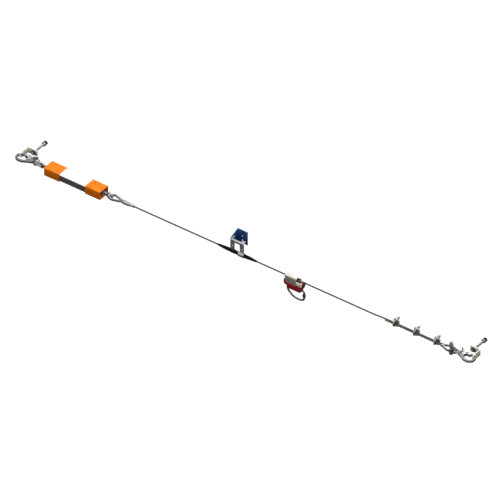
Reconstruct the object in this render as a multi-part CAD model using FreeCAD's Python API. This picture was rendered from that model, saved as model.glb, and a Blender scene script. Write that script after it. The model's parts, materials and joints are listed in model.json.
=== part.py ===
import FreeCAD, Part
import math
import os

# A wire-rope lifeline kit stretched along a wall between two anchors, in millimetres.
# Every piece is drawn in the line's own frame: X along the rope from the absorber end to the
# clip end, Y into the wall, Z up, with the rope's axis on X and X = 0 at the middle of the sleeve.
# save() then moves it to the stored frame, whose origin is the middle of the two bolt holes
# in the intermediate bracket, on the wall.

Vec = FreeCAD.Vector
X, Y, Z = Vec(1, 0, 0), Vec(0, 1, 0), Vec(0, 0, 1)

# the line
ropeR = 4.0
wallGap = 63.0            # rope axis to the wall
leftNoseX = -1279.0       # where the left hook bears on its anchor
rightNoseX = 1370.0       # where the right hook bears on its anchor
seat = 0.3                # gap between curved faces that bear on each other
fit = 0.08                # radial clearance of a running pin
slip = 0.1                # radial clearance of a nut or ring on its own shaft

# wall anchors
plateT = 5.0
eyeLegA = 2.7             # from the hook's bight to the eye leg's near face
rodA = 42.0               # from the hook's bight to the rod
wallLegEndA = 62.0
plateHalfH = 16.0
anchorEyeR = 13.0
anchorEyeY = 14.5
anchorTipY = 13.0         # centre of the eye leg's round end
rodR = 6.0
rodFrontY = 43.0
rodBack = 96.0            # rod tip behind the wall face
wallThickness = 72.0      # what the rod passes through before the washer
rodNutAF = 19.0
rodNutH = 10.8
jamNutH = 7.0
washerR = 12.0
washerT = 3.0

# snap hooks
hookHalfT = 6.0
bightR = 18.5
bightY = -7.5
hookBar = 12.0
noseEndA = 28.0
gatePivot = (58.0, 0.0)
gateRivetR = 3.0
gateCheekT = 2.5
gateCheekGap = 0.5
gateWebT = 2.5
leverPivot = (63.0, 10.5)
leverRivetR = 2.5
leverT = 2.0
leverGap = 0.4
tailWallA = 76.0
tailEndA = 84.0
bossR = 11.0
stemR = 5.0
stemHeadR = 7.5
stemHeadT = 5.2
hookEyeA = 98.0           # bight to the centre of the swivel eye
hookEyeR = 14.0
hookEyeHoleR = 7.0
hookEyeT = 9.0
springWire = 1.2
springPitch = 1.1         # the turns touch
springR = 4.8
springTurns = 5

# shackle between the left hook and the absorber, its pin along Y
smallPinR = 4.5
smallEarR = 10.0
smallEarT = 7.0
smallGap = 1.5            # each side of the hook's eye
smallBarR = 4.5
smallLeg = 24.0
smallNutH = 7.0
smallNutAF = 14.0
smallHeadR = 7.5
smallHeadT = 4.0
smallPinTail = 3.0

# shackle between the thimble and the right hook, its pin along Z
bigPinR = 6.0
bigEarR = 12.0
bigEarT = 9.0
bigHalfGap = 13.0
bigBarR = 5.0
bigPinX = rightNoseX - 130.0
bigNutH = 11.0
bigNutAF = 19.0
bigPinTail = 9.0
bigHeadR = 10.0
bigHeadT = 8.0

# energy absorber
absorberX0 = leftNoseX + 170.0
capLength = 87.0
absorberLength = 328.0
boxHalfY = 34.0
boxHalfZ = 23.5
capWall = 3.5
capRound = 4.0
endRecess = 12.0
endWall = 6.0
sleeveInset = 0.3         # gap between the middle sleeve and the caps around it
sleeveLap = 40.0          # how far the middle sleeve runs into each cap
sleeveWall = 3.0
endEyeR = 15.0
endEyeT = 8.0
endEyeHoleR = 7.0
farEyeR = 18.0
farEyeHoleR = 10.0
fittingHalfZ = 9.0
fittingDepth = 46.0       # how far each fitting runs inside the box
stripT = 3.0
stripHalfY = 22.0
stripHalfZ = 14.0
stripFolds = 9
fittingPinR = 4.0
screwR = 2.5
screwHeadR = 4.5
screwHeadT = 2.4

# thimbles, ferrule and rope route
thimbleR = 15.0
thimbleT = 2.0
flangeT = 1.6
flangeOut = 5.0
strandHalf = 4.3          # half the spacing of two strands side by side
leftLoopX = absorberX0 + absorberLength + 57.0    # centre of the left thimble
leftLegs = 58.0           # loop centre to where the strands lie side by side
rightLegs = 48.0
ferruleX0 = leftLoopX + 54.0
ferruleX1 = leftLoopX + 84.0
ferruleX2 = leftLoopX + 111.0
ferruleX3 = leftLoopX + 118.0
ferruleR = 11.0
tailEndX = leftLoopX + 78.0
bendX = (leftLoopX + 74.0, leftLoopX + 104.0)     # the live strand comes back to the axis

# wire rope clips
clipXs = (bigPinX - 326.0, bigPinX - 208.0, bigPinX - 90.0)
clipBendX = (clipXs[0] - 116.0, clipXs[0] - 60.0)
deadEndX = clipXs[0] - 53.0
clipBarR = 4.0
clipLegZ = 13.0
clipTipY = 38.0
saddleHalfX = 11.0
saddleHalfZ = 20.0
saddleY0 = 5.5
saddleY1 = 22.0
clipNutH = 8.0
clipNutAF = 13.0

ropeCuts = (leftLoopX + 124.0, clipBendX[0] - 8.0)      # the rope is three bars end to end

# intermediate bracket, cable guide and sleeve
bracketX = -15.0          # middle of the wall leg
bracketHalfX = 30.0
bracketZ = (14.5, 90.0)
boltHoleR = 4.5
boltZ = (33.0, 56.0)
sideFrontY = 4.0
sideFrontZ = (42.0, 66.5)
sideBackTop = 88.5
guideT = 3.0
guideLegs = ((-41.0, -17.0), (14.0, 38.0))
guideZ = (54.0, 66.0)
guideHoleR = 3.0
guideHoleZ = 31.5
guideScrewYZ = ((13.0, 55.0), (25.0, 58.0))
guideScrewR = 3.0
guideTabY = 32.0
sleeveR = 9.2
sleeveEndR = 5.2
sleeveHalf = 113.0
sleeveTaper = 50.0
clampT = 3.0
clampX = (10.0, 40.0)

# traveller
travellerX = 336.0
shellR = 12.0
shellT = 2.5
shellX = (-52.0, 14.0)
crownEnd = 29.0
shellBottom = -31.0
bodyHalfY = 13.0
bodyTop = -21.0
bodyBottom = -61.0
rollerX = (-34.0, 38.0)
rollerR = 8.0
rollerBoreR = 2.5
rollerHalfY = 7.0
grooveR = 4.6
ringR = 5.0
ringZ = -53.5
ringHoleR = 5.5
lugTop = -46.0
lugLeft = 34.0
lugRight = 40.0
gateTopZ = -67.0
gateShoulderZ = -85.0
gatePinZ = -89.5
gatePinR = 1.5
tongueHalf = 2.3
lockSleeveR = 8.0
gateOpens = 25.0          # degrees
lockSleeveLength = 15.0
latchPivot = (34.0, -21.0)
latchT = 3.0
latchPinR = 2.0
latchPinDepth = 5.0

# from the line's frame to the stored frame
lineToWall = Vec(-bracketX, -wallGap, -sum(boltZ) / 2)


def box(x0, x1, y0, y1, z0, z1):
    return Part.makeBox(x1 - x0, y1 - y0, z1 - z0, Vec(x0, y0, z0))


def rod(start, axis, radius, length):
    return Part.makeCylinder(radius, length, start, axis)


def joined(shapes):
    return shapes[0].fuse(list(shapes[1:])).removeSplitter()


def hexNut(start, axis, flats, height, bore):
    side = flats / math.sqrt(3)
    flat = Part.makePolygon(
        [Vec(side * math.cos(k * math.pi / 3), side * math.sin(k * math.pi / 3), 0) for k in range(7)]
    )
    nut = Part.Face(flat).extrude(Vec(0, 0, height))
    corner = 0.5 * flats + 0.35
    cone = Part.makeCone(corner, corner + height, height, Vec(0, 0, 0), Z)
    top = Part.makeCone(corner + height, corner, height, Vec(0, 0, 0), Z)
    nut = nut.common(cone).common(top)
    nut = nut.cut(Part.makeCylinder(bore, height, Vec(0, 0, 0), Z))
    nut.Placement = FreeCAD.Placement(start, FreeCAD.Rotation(Z, axis))
    return nut


def ring(start, axis, outer, inner, height):
    return rod(start, axis, outer, height).cut(rod(start, axis, inner, height))


def flatShape(points, thickness, start=0.0, plane="xy"):
    """points: 2-D corners; a corner written as (u, v, radius) is rounded."""
    place = {
        "xy": lambda u, v: Vec(u, v, start),
        "xz": lambda u, v: Vec(u, start, v),
        "yz": lambda u, v: Vec(start, u, v),
    }[plane]
    along = {"xy": Z, "xz": Y, "yz": X}[plane]
    corners = [(place(p[0], p[1]), p[2] if len(p) > 2 else 0) for p in points]
    wire = Part.Wire(roundedEdges(corners, True))
    return Part.Face(wire).extrude(along * thickness)


def roundedEdges(corners, closed=False):
    """Lines between the corners, with a tangent arc of the given radius at each one."""
    count = len(corners)
    entries, exits, arcs = [], [], []
    for i, (point, radius) in enumerate(corners):
        inner = closed or 0 < i < count - 1
        if not inner or radius <= 0:
            entries.append(point)
            exits.append(point)
            arcs.append(None)
            continue
        before = (corners[i - 1][0] - point).normalize()
        after = (corners[(i + 1) % count][0] - point).normalize()
        half = before.getAngle(after) / 2
        reach = radius / math.tan(half)
        middle = (before + after).normalize() * (radius / math.sin(half) - radius)
        entries.append(point + before * reach)
        exits.append(point + after * reach)
        arcs.append(point + middle)
    edges = []
    for i in range(count):
        if arcs[i] is not None:
            edges.append(Part.Arc(entries[i], arcs[i], exits[i]).toShape())
        if closed or i < count - 1:
            end = entries[(i + 1) % count]
            if exits[i].distanceToPoint(end) > 1e-6:
                edges.append(Part.LineSegment(exits[i], end).toShape())
    return edges


def pipe(edges, radius):
    path = Part.Wire(edges)
    start = path.Edges[0].Vertexes[0].Point
    heading = path.Edges[0].tangentAt(path.Edges[0].FirstParameter)
    section = Part.Wire(Part.makeCircle(radius, start, heading))
    return path.makePipeShell([section], True, False)


def softened(shape, radius, choose):
    edges = [e for e in shape.Edges if choose(e)]
    return shape.makeFillet(radius, edges)


def place(local, side):
    """Moves a hook or anchor from its own frame, bight at 0 and tail at +X, to its end of the line."""
    if side == "left":
        local.translate(Vec(leftNoseX, 0, 0))
        return local
    turned = local.mirror(Vec(0, 0, 0), X)
    turned.translate(Vec(rightNoseX, 0, 0))
    return turned


def anchorPlate():
    legX = eyeLegA
    profile = [
        (legX, -40), (legX, wallGap, plateT + 2), (wallLegEndA, wallGap),
        (wallLegEndA, wallGap - plateT), (legX + plateT, wallGap - plateT, 2), (legX + plateT, -40),
    ]
    plate = flatShape(profile, 2 * plateHalfH, -plateHalfH)
    tip = rod(Vec(legX - 1, anchorTipY, 0), X, plateHalfH, plateT + 2)
    outline = tip.fuse(box(legX - 1, wallLegEndA, anchorTipY, wallGap, -plateHalfH, plateHalfH))
    plate = plate.common(outline)
    plate = plate.cut(rod(Vec(legX - 1, anchorEyeY, 0), X, anchorEyeR, plateT + 2))
    plate = plate.cut(rod(Vec(rodA, 0, 0), Y, rodR + 0.5, wallGap + 1))
    return softened(
        plate, 6, lambda e: abs(e.BoundBox.XMin - wallLegEndA) < 0.01 and e.BoundBox.YLength > plateT - 0.1
    )


def anchorRod():
    length = wallGap + rodBack - rodFrontY
    bar = rod(Vec(rodA, rodFrontY, 0), Y, rodR, length)
    return bar.makeChamfer(1.2, [e for e in bar.Edges if e.BoundBox.YLength < 0.01])


def anchorNuts():
    washerBack = wallGap + wallThickness + washerT
    starts = ((wallGap - plateT - rodNutH, rodNutH), (washerBack, rodNutH), (washerBack + rodNutH, jamNutH))
    nuts = [hexNut(Vec(rodA, y, 0), Y, rodNutAF, h, rodR + slip) for y, h in starts]
    return Part.makeCompound(nuts)


def anchorWasher():
    return ring(Vec(rodA, wallGap + wallThickness, 0), Y, washerR, rodR + 0.5, washerT)


def hookBody():
    outer = bightR + hookBar
    c = bightR
    top, low = bightY + bightR, bightY - bightR
    out = bightY - outer
    points = [
        (tailEndA, 12, 3), (54, 15, 4), (51.5, -2, 5), (44, -22, 14), (c, low), None,
        (noseEndA, top, 3), (noseEndA + 6, top + hookBar / 2, 3), (noseEndA, top + hookBar, 3),
        (c, top + hookBar), None, (36, out + 1, 30), (66, -20, 20), (tailEndA, -13, 4),
    ]
    edges = roundedEdges([(Vec(p[0], p[1], 0), p[2] if len(p) > 2 else 0) for p in points[:5]])
    edges.append(Part.Arc(Vec(c, low, 0), Vec(0, bightY, 0), Vec(c, top, 0)).toShape())
    nose = [(c, top)] + points[6:10]
    edges += roundedEdges([(Vec(p[0], p[1], 0), p[2] if len(p) > 2 else 0) for p in nose])
    edges.append(Part.Arc(Vec(c, top + hookBar, 0), Vec(-hookBar, bightY, 0), Vec(c, out, 0)).toShape())
    spine = [(c, out)] + points[11:] + [(tailEndA, 12)]
    edges += roundedEdges([(Vec(p[0], p[1], 0), p[2] if len(p) > 2 else 0) for p in spine])
    face = Part.Face(Part.Wire(Part.__sortEdges__(edges)))
    body = face.extrude(Vec(0, 0, 2 * hookHalfT))
    body.translate(Vec(0, 0, -hookHalfT))
    rims = [e for e in body.Edges if e.BoundBox.ZLength < 0.01]
    body = body.makeFillet(2.6, rims)
    body = body.fuse(rod(Vec(tailWallA, 0, 0), X, bossR, tailEndA - tailWallA))
    window = box(tailWallA - 8, tailWallA, -9, 9, -bossR, bossR)
    body = body.cut(window)
    body = body.cut(rod(Vec(tailWallA - 1, 0, 0), X, stemR + seat, tailEndA - tailWallA + 2))
    for (a, b), r in ((gatePivot, gateRivetR), (leverPivot, leverRivetR)):
        body = body.cut(rod(Vec(a, b, -20), Z, r + fit, 40))
    pocket = springR + springWire + 1.2
    deep = (springPitch * (springTurns - 1) + springWire) / 2 + seat
    body = body.cut(rod(Vec(gatePivot[0], gatePivot[1], -deep), Z, pocket, 2 * deep))
    return body.removeSplitter()


def hookGate():
    inside = hookHalfT + gateCheekGap
    outside = inside + gateCheekT
    noseIn = bightY + bightR - seat
    web = noseIn - gateWebT
    ga, gb = gatePivot
    outline = [
        (26, web), (26, 18, 2), (37, 18, 3), (44, noseIn, 4), (ga - 4, noseIn, 3),
        (ga + 8, 6, 5), (ga + 8, -7, 6), (ga - 7, -7, 5), (50, 1, 5), (45, web, 8),
    ]
    cheeks = [flatShape(outline, gateCheekT, z) for z in (inside, -outside)]
    bridge = box(26, 46, web, noseIn, -outside, outside)
    gate = joined([bridge] + cheeks)
    return gate.cut(rod(Vec(ga, gb, -20), Z, gateRivetR + fit, 40))


def lockLever():
    inside = hookHalfT + gateCheekGap + gateCheekT + leverGap
    outside = inside + leverT
    ka, kb = leverPivot
    outline = [(41, 15, 3), (41, 21.5), (73, 21.5, 3), (ka + 7, 7, 5), (ka - 6, 6, 5), (50, 14, 6)]
    cheeks = [flatShape(outline, leverT, z) for z in (inside, -outside)]
    strip = [(41, 19.5), (70, 19.5, 12), (90, 30), (89, 32.2), (69.5, 21.5, 12), (41, 21.5)]
    web = flatShape(strip, 2 * outside, -outside)
    lever = joined([web] + cheeks)
    return lever.cut(rod(Vec(ka, kb, -20), Z, leverRivetR + fit, 40))


def hookRivets():
    gateHalf = hookHalfT + gateCheekGap + gateCheekT
    leverHalf = gateHalf + leverGap + leverT
    rivets = []
    for (a, b), r, half in ((gatePivot, gateRivetR, gateHalf), (leverPivot, leverRivetR, leverHalf)):
        shank = rod(Vec(a, b, -half - 0.2), Z, r, 2 * half + 0.4)
        heads = [rod(Vec(a, b, z), Z, r + 1.2, 1.2) for z in (half + 0.2, -half - 1.4)]
        rivets.append(joined([shank] + heads))
    gate = rivets[0]
    clear = leverHalf - leverT - 0.1
    gate = gate.common(rod(Vec(gatePivot[0], gatePivot[1], -clear), Z, 20, 2 * clear))
    return Part.makeCompound([gate, rivets[1]])


def gateSpring():
    low = -springPitch * (springTurns - 1) / 2
    turns = [
        Part.makeTorus(springR, springWire / 2, Vec(*gatePivot, low + k * springPitch), Z)
        for k in range(springTurns)
    ]
    return joined(turns)


def swivelEye(side):
    turn = Y if side == "left" else Z
    eye = ring(Vec(hookEyeA, 0, 0) - turn * (hookEyeT / 2), turn, hookEyeR, hookEyeHoleR, hookEyeT)
    eye = eye.makeFillet(1.8, [e for e in eye.Edges if e.BoundBox.DiagonalLength > 2 * hookEyeHoleR - 1])
    stem = rod(Vec(tailWallA - seat, 0, 0), X, stemR, hookEyeA - hookEyeHoleR - 1.5 - tailWallA)
    head = rod(Vec(tailWallA - seat - stemHeadT, 0, 0), X, stemHeadR, stemHeadT)
    shank = stem.fuse(head).cut(rod(Vec(hookEyeA, 0, 0) - turn * 20, turn, hookEyeHoleR + 1, 40))
    return joined([eye, shank])


def shackleBow(pinX, axis, halfGap, earT, earR, barR, leg, pinR):
    """A D-shackle whose pin lies along axis and whose bow runs to +X."""
    mid = halfGap + earT / 2
    side = axis
    points = [
        Part.LineSegment(Vec(pinX, 0, 0) + side * mid, Vec(pinX + leg, 0, 0) + side * mid).toShape(),
        Part.Arc(
            Vec(pinX + leg, 0, 0) + side * mid,
            Vec(pinX + leg + mid, 0, 0),
            Vec(pinX + leg, 0, 0) - side * mid,
        ).toShape(),
        Part.LineSegment(Vec(pinX + leg, 0, 0) - side * mid, Vec(pinX, 0, 0) - side * mid).toShape(),
    ]
    bow = pipe(points, barR)
    ears = [rod(Vec(pinX, 0, 0) + side * s, side, earR, earT) for s in (halfGap, -halfGap - earT)]
    bow = joined([bow] + ears)
    bow = bow.cut(rod(Vec(pinX, 0, 0) - side * 60, side, earR + 1, 60 - halfGap - earT))
    bow = bow.cut(rod(Vec(pinX, 0, 0) + side * (halfGap + earT), side, earR + 1, 60))
    bow = bow.cut(rod(Vec(pinX, 0, 0) - side * halfGap, side, earR - 0.5, 2 * halfGap))
    return bow.cut(rod(Vec(pinX, 0, 0) - side * 60, side, pinR + slip, 120))


def shacklePin(pinX, axis, halfGap, earT, pinR, headR, headT, nutH, tail):
    reach = halfGap + earT
    start = Vec(pinX, 0, 0) - axis * reach
    shank = rod(start, axis, pinR, 2 * reach + nutH + tail)
    head = rod(start, -axis, headR, headT)
    head = head.makeFillet(1.2, [e for e in head.Edges if e.BoundBox.DiagonalLength > headR])
    return joined([shank, head])


def endCap(side):
    """An orange end cap: open towards the middle, with a rimmed opening at the outer end."""
    x0, x1 = absorberX0, absorberX0 + capLength
    shell = box(x0, x1, -boxHalfY, boxHalfY, -boxHalfZ, boxHalfZ)
    shell = softened(shell, capRound, lambda e: e.BoundBox.XLength > 1)
    inner = (boxHalfY - capWall, boxHalfZ - capWall)
    shell = shell.cut(box(x0 - 1, x0 + endRecess, -inner[0], inner[0], -inner[1], inner[1]))
    shell = shell.cut(box(x0 + endRecess + endWall, x1 + 1, -inner[0], inner[0], -inner[1], inner[1]))
    slot = (endEyeT / 2 + 0.5, fittingHalfZ + 0.5)
    shell = shell.cut(box(x0, x1, -slot[0], slot[0], -slot[1], slot[1]))
    for x, y, z in screwPlaces():
        shell = shell.cut(rod(Vec(x, y, z), Z if z > 0 else -Z, screwR + slip, 30))
    if side == "left":
        return shell
    return acrossAbsorber(shell)


def acrossAbsorber(shape):
    return shape.mirror(Vec(absorberX0 + absorberLength / 2, 0, 0), X)


def screwPlaces():
    inset = sleeveLap / 2
    x = absorberX0 + capLength - inset
    z = boxHalfZ - capWall - sleeveInset - sleeveWall
    return [(x, y, s * z) for y in (-boxHalfY + 14, boxHalfY - 14) for s in (1, -1)]


def absorberSleeve():
    x0 = absorberX0 + capLength - sleeveLap
    x1 = absorberX0 + absorberLength - capLength + sleeveLap
    y = boxHalfY - capWall - sleeveInset
    z = boxHalfZ - capWall - sleeveInset
    tube = softened(box(x0, x1, -y, y, -z, z), 2, lambda e: e.BoundBox.XLength > 1)
    tube = tube.cut(box(x0 - 1, x1 + 1, -y + sleeveWall, y - sleeveWall, -z + sleeveWall, z - sleeveWall))
    for x, sy, sz in screwPlaces():
        for at in (x, 2 * absorberX0 + absorberLength - x):
            up = 1 if sz > 0 else -1
            tube = tube.cut(rod(Vec(at, sy, sz - up), Z * up, screwR + slip, 20))
    return tube


def absorberScrews():
    screws = []
    for x, y, z in screwPlaces():
        up = Z if z > 0 else -Z
        length = boxHalfZ - abs(z)
        screw = rod(Vec(x, y, z), up, screwR, length).fuse(
            rod(Vec(x, y, z) + up * length, up, screwHeadR, screwHeadT)
        )
        screws.append(screw.removeSplitter())
    return Part.makeCompound(screws + [acrossAbsorber(s) for s in screws])


def endFitting(side):
    """The flat eye that comes out of each end of the absorber."""
    if side == "left":
        inner = smallHalfGap() + smallEarT / 2 - smallBarR
        sag = inner - math.sqrt(inner ** 2 - (endEyeT / 2) ** 2)
        hole = hookLinkX() - smallBarR - sag - seat + endEyeHoleR
        outer, holeR, edge = endEyeR, endEyeHoleR, absorberX0
        inside = edge + fittingDepth
    else:
        half = ropeR + 0.2 + flangeT
        hole = leftLoopX - thimbleR + seat - math.sqrt(farEyeHoleR ** 2 - half ** 2)
        outer, holeR, edge = farEyeR, farEyeHoleR, absorberX0 + absorberLength
        inside = edge - fittingDepth
    low, high = min(hole, inside), max(hole, inside)
    eye = rod(Vec(hole, -endEyeT / 2, 0), Y, outer, endEyeT)
    bar = box(low, high, -endEyeT / 2, endEyeT / 2, -fittingHalfZ, fittingHalfZ)
    fitting = joined([eye, bar]).cut(rod(Vec(hole, -20, 0), Y, holeR, 40))
    pinX = inside - 9 if side == "left" else inside + 9
    return fitting.cut(rod(Vec(pinX, -20, 0), Y, fittingPinR + slip, 40))


def hookLinkX():
    """The middle of the small shackle's bar where it passes through the absorber's eye."""
    return smallPinX() + smallLeg + smallHalfGap() + smallEarT / 2


def smallHalfGap():
    return hookEyeT / 2 + smallGap


def smallPinX():
    return leftNoseX + hookEyeA + hookEyeHoleR - smallPinR - seat


def fittingPins():
    half = endEyeT / 2 + 2 * stripT
    xs = (absorberX0 + fittingDepth - 9, absorberX0 + absorberLength - fittingDepth + 9)
    return Part.makeCompound([rod(Vec(x, -half, 0), Y, fittingPinR, 2 * half) for x in xs])


def tearStrip():
    """A folded steel strip that rips open in a fall, held at each end by a fitting pin."""
    x0 = absorberX0 + fittingDepth + 2.0
    x1 = absorberX0 + absorberLength - fittingDepth - 2.0
    step = (x1 - x0) / stripFolds
    middle = [(x0 + k * step, (stripHalfZ if k % 2 else -stripHalfZ)) for k in range(1, stripFolds)]
    run = [(x0, 0)] + middle + [(x1, 0)]
    centre = [(Vec(x, 0, z), 0 if k in (0, len(run) - 1) else 5.0) for k, (x, z) in enumerate(run)]
    path = Part.Wire(roundedEdges(centre))
    start = path.Edges[0].Vertexes[0].Point
    heading = path.Edges[0].tangentAt(path.Edges[0].FirstParameter)
    across = heading.cross(Y).normalize() * (stripT / 2)
    wide = Y * stripHalfY
    corners = [start + across + wide, start - across + wide, start - across - wide, start + across - wide]
    section = Part.makePolygon(corners + corners[:1])
    strip = path.makePipeShell([section], True, False)
    forks = []
    for edge, turn in ((x0, -1), (x1, 1)):
        for y in (endEyeT / 2 + 0.5, -endEyeT / 2 - 0.5 - stripT):
            low, high = sorted((edge + turn * 16, edge - turn * 2))
            forks.append(box(low, high, y, y + stripT, -7, 7))
    strip = joined([strip] + forks)
    for x in (absorberX0 + fittingDepth - 9, absorberX0 + absorberLength - fittingDepth + 9):
        strip = strip.cut(rod(Vec(x, -30, 0), Y, fittingPinR + slip, 60))
    return strip


def rightLoopX():
    return bigPinX + bigPinR + seat - thimbleR


def loopRadius():
    return thimbleR + thimbleT + ropeR


def legAngle(radius, legs, half):
    """The slope of a leg that leaves a round of this radius and lies `half` off the axis at `legs`."""
    return math.asin(radius / math.hypot(legs, half)) - math.atan2(half, legs)


def loopCorners(centre, turn, legs, half, radius):
    """Where a strand leaves the round, and the far end of its leg; turn is +1 when the leg runs to +X."""
    slope = legAngle(radius, legs, half)
    tangent = Vec(centre + turn * radius * math.sin(slope), radius * math.cos(slope), 0)
    return tangent, Vec(centre + turn * legs, half, 0)


def bendRadius(before, point, after):
    run = 0.45 * min((point - before).Length, (after - point).Length)
    turn = (point - before).getAngle(after - point)
    return run / math.tan(turn / 2)


def softRun(points):
    radii = [0] + [bendRadius(*points[i - 1:i + 2]) for i in range(1, len(points) - 1)] + [0]
    return roundedEdges(list(zip(points, radii))), radii[1:-1]


def flipped(v):
    return Vec(v.x, -v.y, v.z)


def ropeEdges():
    """The whole rope: tail, left loop, the long run, right loop and dead end."""
    radius = loopRadius()
    leftOut, leftEnd = loopCorners(leftLoopX, 1, leftLegs, strandHalf, radius)
    rightOut, rightEnd = loopCorners(rightLoopX(), -1, rightLegs, strandHalf, radius)
    tail, tailRadii = softRun([Vec(tailEndX, strandHalf, 0), leftEnd, leftOut])
    live, liveRadii = softRun([
        flipped(leftOut), flipped(leftEnd), Vec(bendX[0], -strandHalf, 0), Vec(bendX[1], 0, 0),
        Vec(clipBendX[0], 0, 0), Vec(clipBendX[1], strandHalf, 0), rightEnd, rightOut,
    ])
    dead, deadRadii = softRun([flipped(rightOut), flipped(rightEnd), Vec(deadEndX, -strandHalf, 0)])
    left = Part.Arc(leftOut, Vec(leftLoopX - radius, 0, 0), flipped(leftOut)).toShape()
    right = Part.Arc(rightOut, Vec(rightLoopX() + radius, 0, 0), flipped(rightOut)).toShape()
    radii = tailRadii + [radius] + liveRadii + [radius] + deadRadii
    return tail + [left] + live + [right] + dead, radii


def wireRope():
    """A round bar along the whole route, cut across two straight runs so that each loop is its own solid."""
    edges, radii = ropeEdges()
    length = sum(e.Length for e in edges)
    rope = pipe(edges, ropeR)
    print("rope length %.1f, volume over section times length %.5f" % (
        length, rope.Volume / (math.pi * ropeR ** 2 * length)))
    print("rope radii", [round(r, 1) for r in radii])
    ends = (leftNoseX, *ropeCuts, rightNoseX)
    spans = [box(a, b, -wallGap, wallGap, -wallGap, wallGap) for a, b in zip(ends, ends[1:])]
    return Part.makeCompound([rope.common(span) for span in spans])


def teardrop(centre, turn, radius, legs, half, height):
    tangent, end = loopCorners(centre, turn, legs, half, radius)
    far = Vec(centre - turn * radius, 0, 0)
    edges = [
        Part.LineSegment(end, tangent).toShape(),
        Part.Arc(tangent, far, flipped(tangent)).toShape(),
        Part.LineSegment(flipped(tangent), flipped(end)).toShape(),
        Part.LineSegment(flipped(end), end).toShape(),
    ]
    solid = Part.Face(Part.Wire(edges)).extrude(Vec(0, 0, height))
    solid.translate(Vec(0, 0, -height / 2))
    return solid


def bigLeg():
    """The straight of the big shackle: its bow ends where the right hook's eye bears on it."""
    bowEnd = rightNoseX - (hookEyeA + hookEyeHoleR - bigBarR - seat)
    return bowEnd - bigPinX - bigHalfGap - bigEarT / 2


def thimble(centre, turn, legs):
    """A gutter that follows the rope round its loop, with a flange above and below the rope."""
    slope = legAngle(loopRadius(), legs, strandHalf)
    apex = (loopRadius() - ropeR - 0.15) / math.sin(slope)
    point = min(legs - 8, apex - 6)

    def drop(radius, height):
        half = (radius / math.sin(slope) - point) * math.tan(slope)
        return teardrop(centre, turn, radius, point, max(half, 0.2), height)

    channel = 2 * (ropeR + 0.2)
    tall = channel + 2 * flangeT
    core = drop(thimbleR + thimbleT - 0.1, tall)
    rims = drop(thimbleR + thimbleT + flangeOut - 1, tall).cut(drop(thimbleR + thimbleT + 30, channel))
    rims = rims.common(box(*sorted((centre - turn * 60, centre + turn * (point - 8))), -60, 60, -20, 20))
    hollowEnd = (thimbleR - 1.0) / math.sin(slope) - 8
    inner = teardrop(centre, turn, thimbleR, hollowEnd,
                     max((thimbleR / math.sin(slope) - hollowEnd) * math.tan(slope), 0.2), tall + 2)
    return core.fuse(rims).cut(inner).removeSplitter()


def ferrule():
    profile = [
        Vec(ferruleX0, 0, 0), Vec(ferruleX0, 0, ferruleR - 1), Vec(ferruleX0 + 1, 0, ferruleR),
        Vec(ferruleX1, 0, ferruleR), Vec(ferruleX2, 0, ropeR + 2), Vec(ferruleX2, 0, ropeR + 3.2),
        Vec(ferruleX3, 0, ropeR + 3.2), Vec(ferruleX3, 0, 0), Vec(ferruleX0, 0, 0),
    ]
    body = Part.Face(Part.makePolygon(profile)).revolve(Vec(0, 0, 0), X, 360)
    edges, _ = ropeEdges()
    near = [e for e in edges if e.BoundBox.XMax > ferruleX0 - 60 and e.BoundBox.XMin < ferruleX3 + 5]
    first = near[0:3]
    second = [e for e in near[3:] if e.BoundBox.XMin > leftLoopX]
    for run in (first, second):
        body = body.cut(pipe(run, ropeR + 0.05))
    return body


def clipUBolt(x):
    bowY = clipLegZ - clipBarR - strandHalf - ropeR
    edges = [
        Part.LineSegment(Vec(x, clipTipY, clipLegZ), Vec(x, bowY, clipLegZ)).toShape(),
        Part.Arc(Vec(x, bowY, clipLegZ), Vec(x, bowY - clipLegZ, 0), Vec(x, bowY, -clipLegZ)).toShape(),
        Part.LineSegment(Vec(x, bowY, -clipLegZ), Vec(x, clipTipY, -clipLegZ)).toShape(),
    ]
    return pipe(edges, clipBarR)


def clipSaddle(x):
    block = box(x - saddleHalfX, x + saddleHalfX, saddleY0, saddleY1 - 6, -saddleHalfZ, saddleHalfZ)
    for z in (clipLegZ, -clipLegZ):
        block = block.fuse(rod(Vec(x, saddleY0 + 1, z), Y, 7.0, saddleY1 - saddleY0 - 1))
    bridge = box(x - 5, x + 5, saddleY0 + 2, saddleY1 - 2, -clipLegZ, clipLegZ)
    block = block.fuse(bridge).removeSplitter()
    block = block.cut(rod(Vec(x - 30, strandHalf, 0), X, ropeR + 0.15, 60))
    for z in (clipLegZ, -clipLegZ):
        block = block.cut(rod(Vec(x, -20, z), Y, clipBarR + slip, 80))
    return block


def clipNuts():
    nuts = [hexNut(Vec(x, saddleY1, z), Y, clipNutAF, clipNutH, clipBarR + slip)
            for x in clipXs for z in (clipLegZ, -clipLegZ)]
    return Part.makeCompound(nuts)


def bracketPlate():
    x0, x1 = bracketX - bracketHalfX, bracketX + bracketHalfX
    z0, z1 = bracketZ
    bend = [
        (x0, sideFrontY), (x0, wallGap, plateT + 2), (x1, wallGap), (x1, wallGap - plateT),
        (x0 + plateT, wallGap - plateT, 2), (x0 + plateT, sideFrontY),
    ]
    plate = flatShape(bend, z1 - z0, z0)
    side = flatShape([
        (sideFrontY, sideFrontZ[0], 4), (sideFrontY, sideFrontZ[1], 4), (wallGap - 4, sideBackTop),
        (wallGap, z1), (wallGap, z0), (wallGap - 4, z0),
    ], x1 - x0 + 2, x0 - 1, "yz")
    front = box(x0 + plateT, x1 + 1, wallGap - plateT - 2.5, wallGap + 1, z0, z1)
    plate = plate.common(side.fuse(front))
    for z in boltZ:
        plate = plate.cut(rod(Vec(bracketX, wallGap - 20, z), Y, boltHoleR, 30))
    for y, z in guideScrewYZ:
        plate = plate.cut(rod(Vec(x0 - 5, y, z), X, guideScrewR + slip, 30))
    return plate


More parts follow.
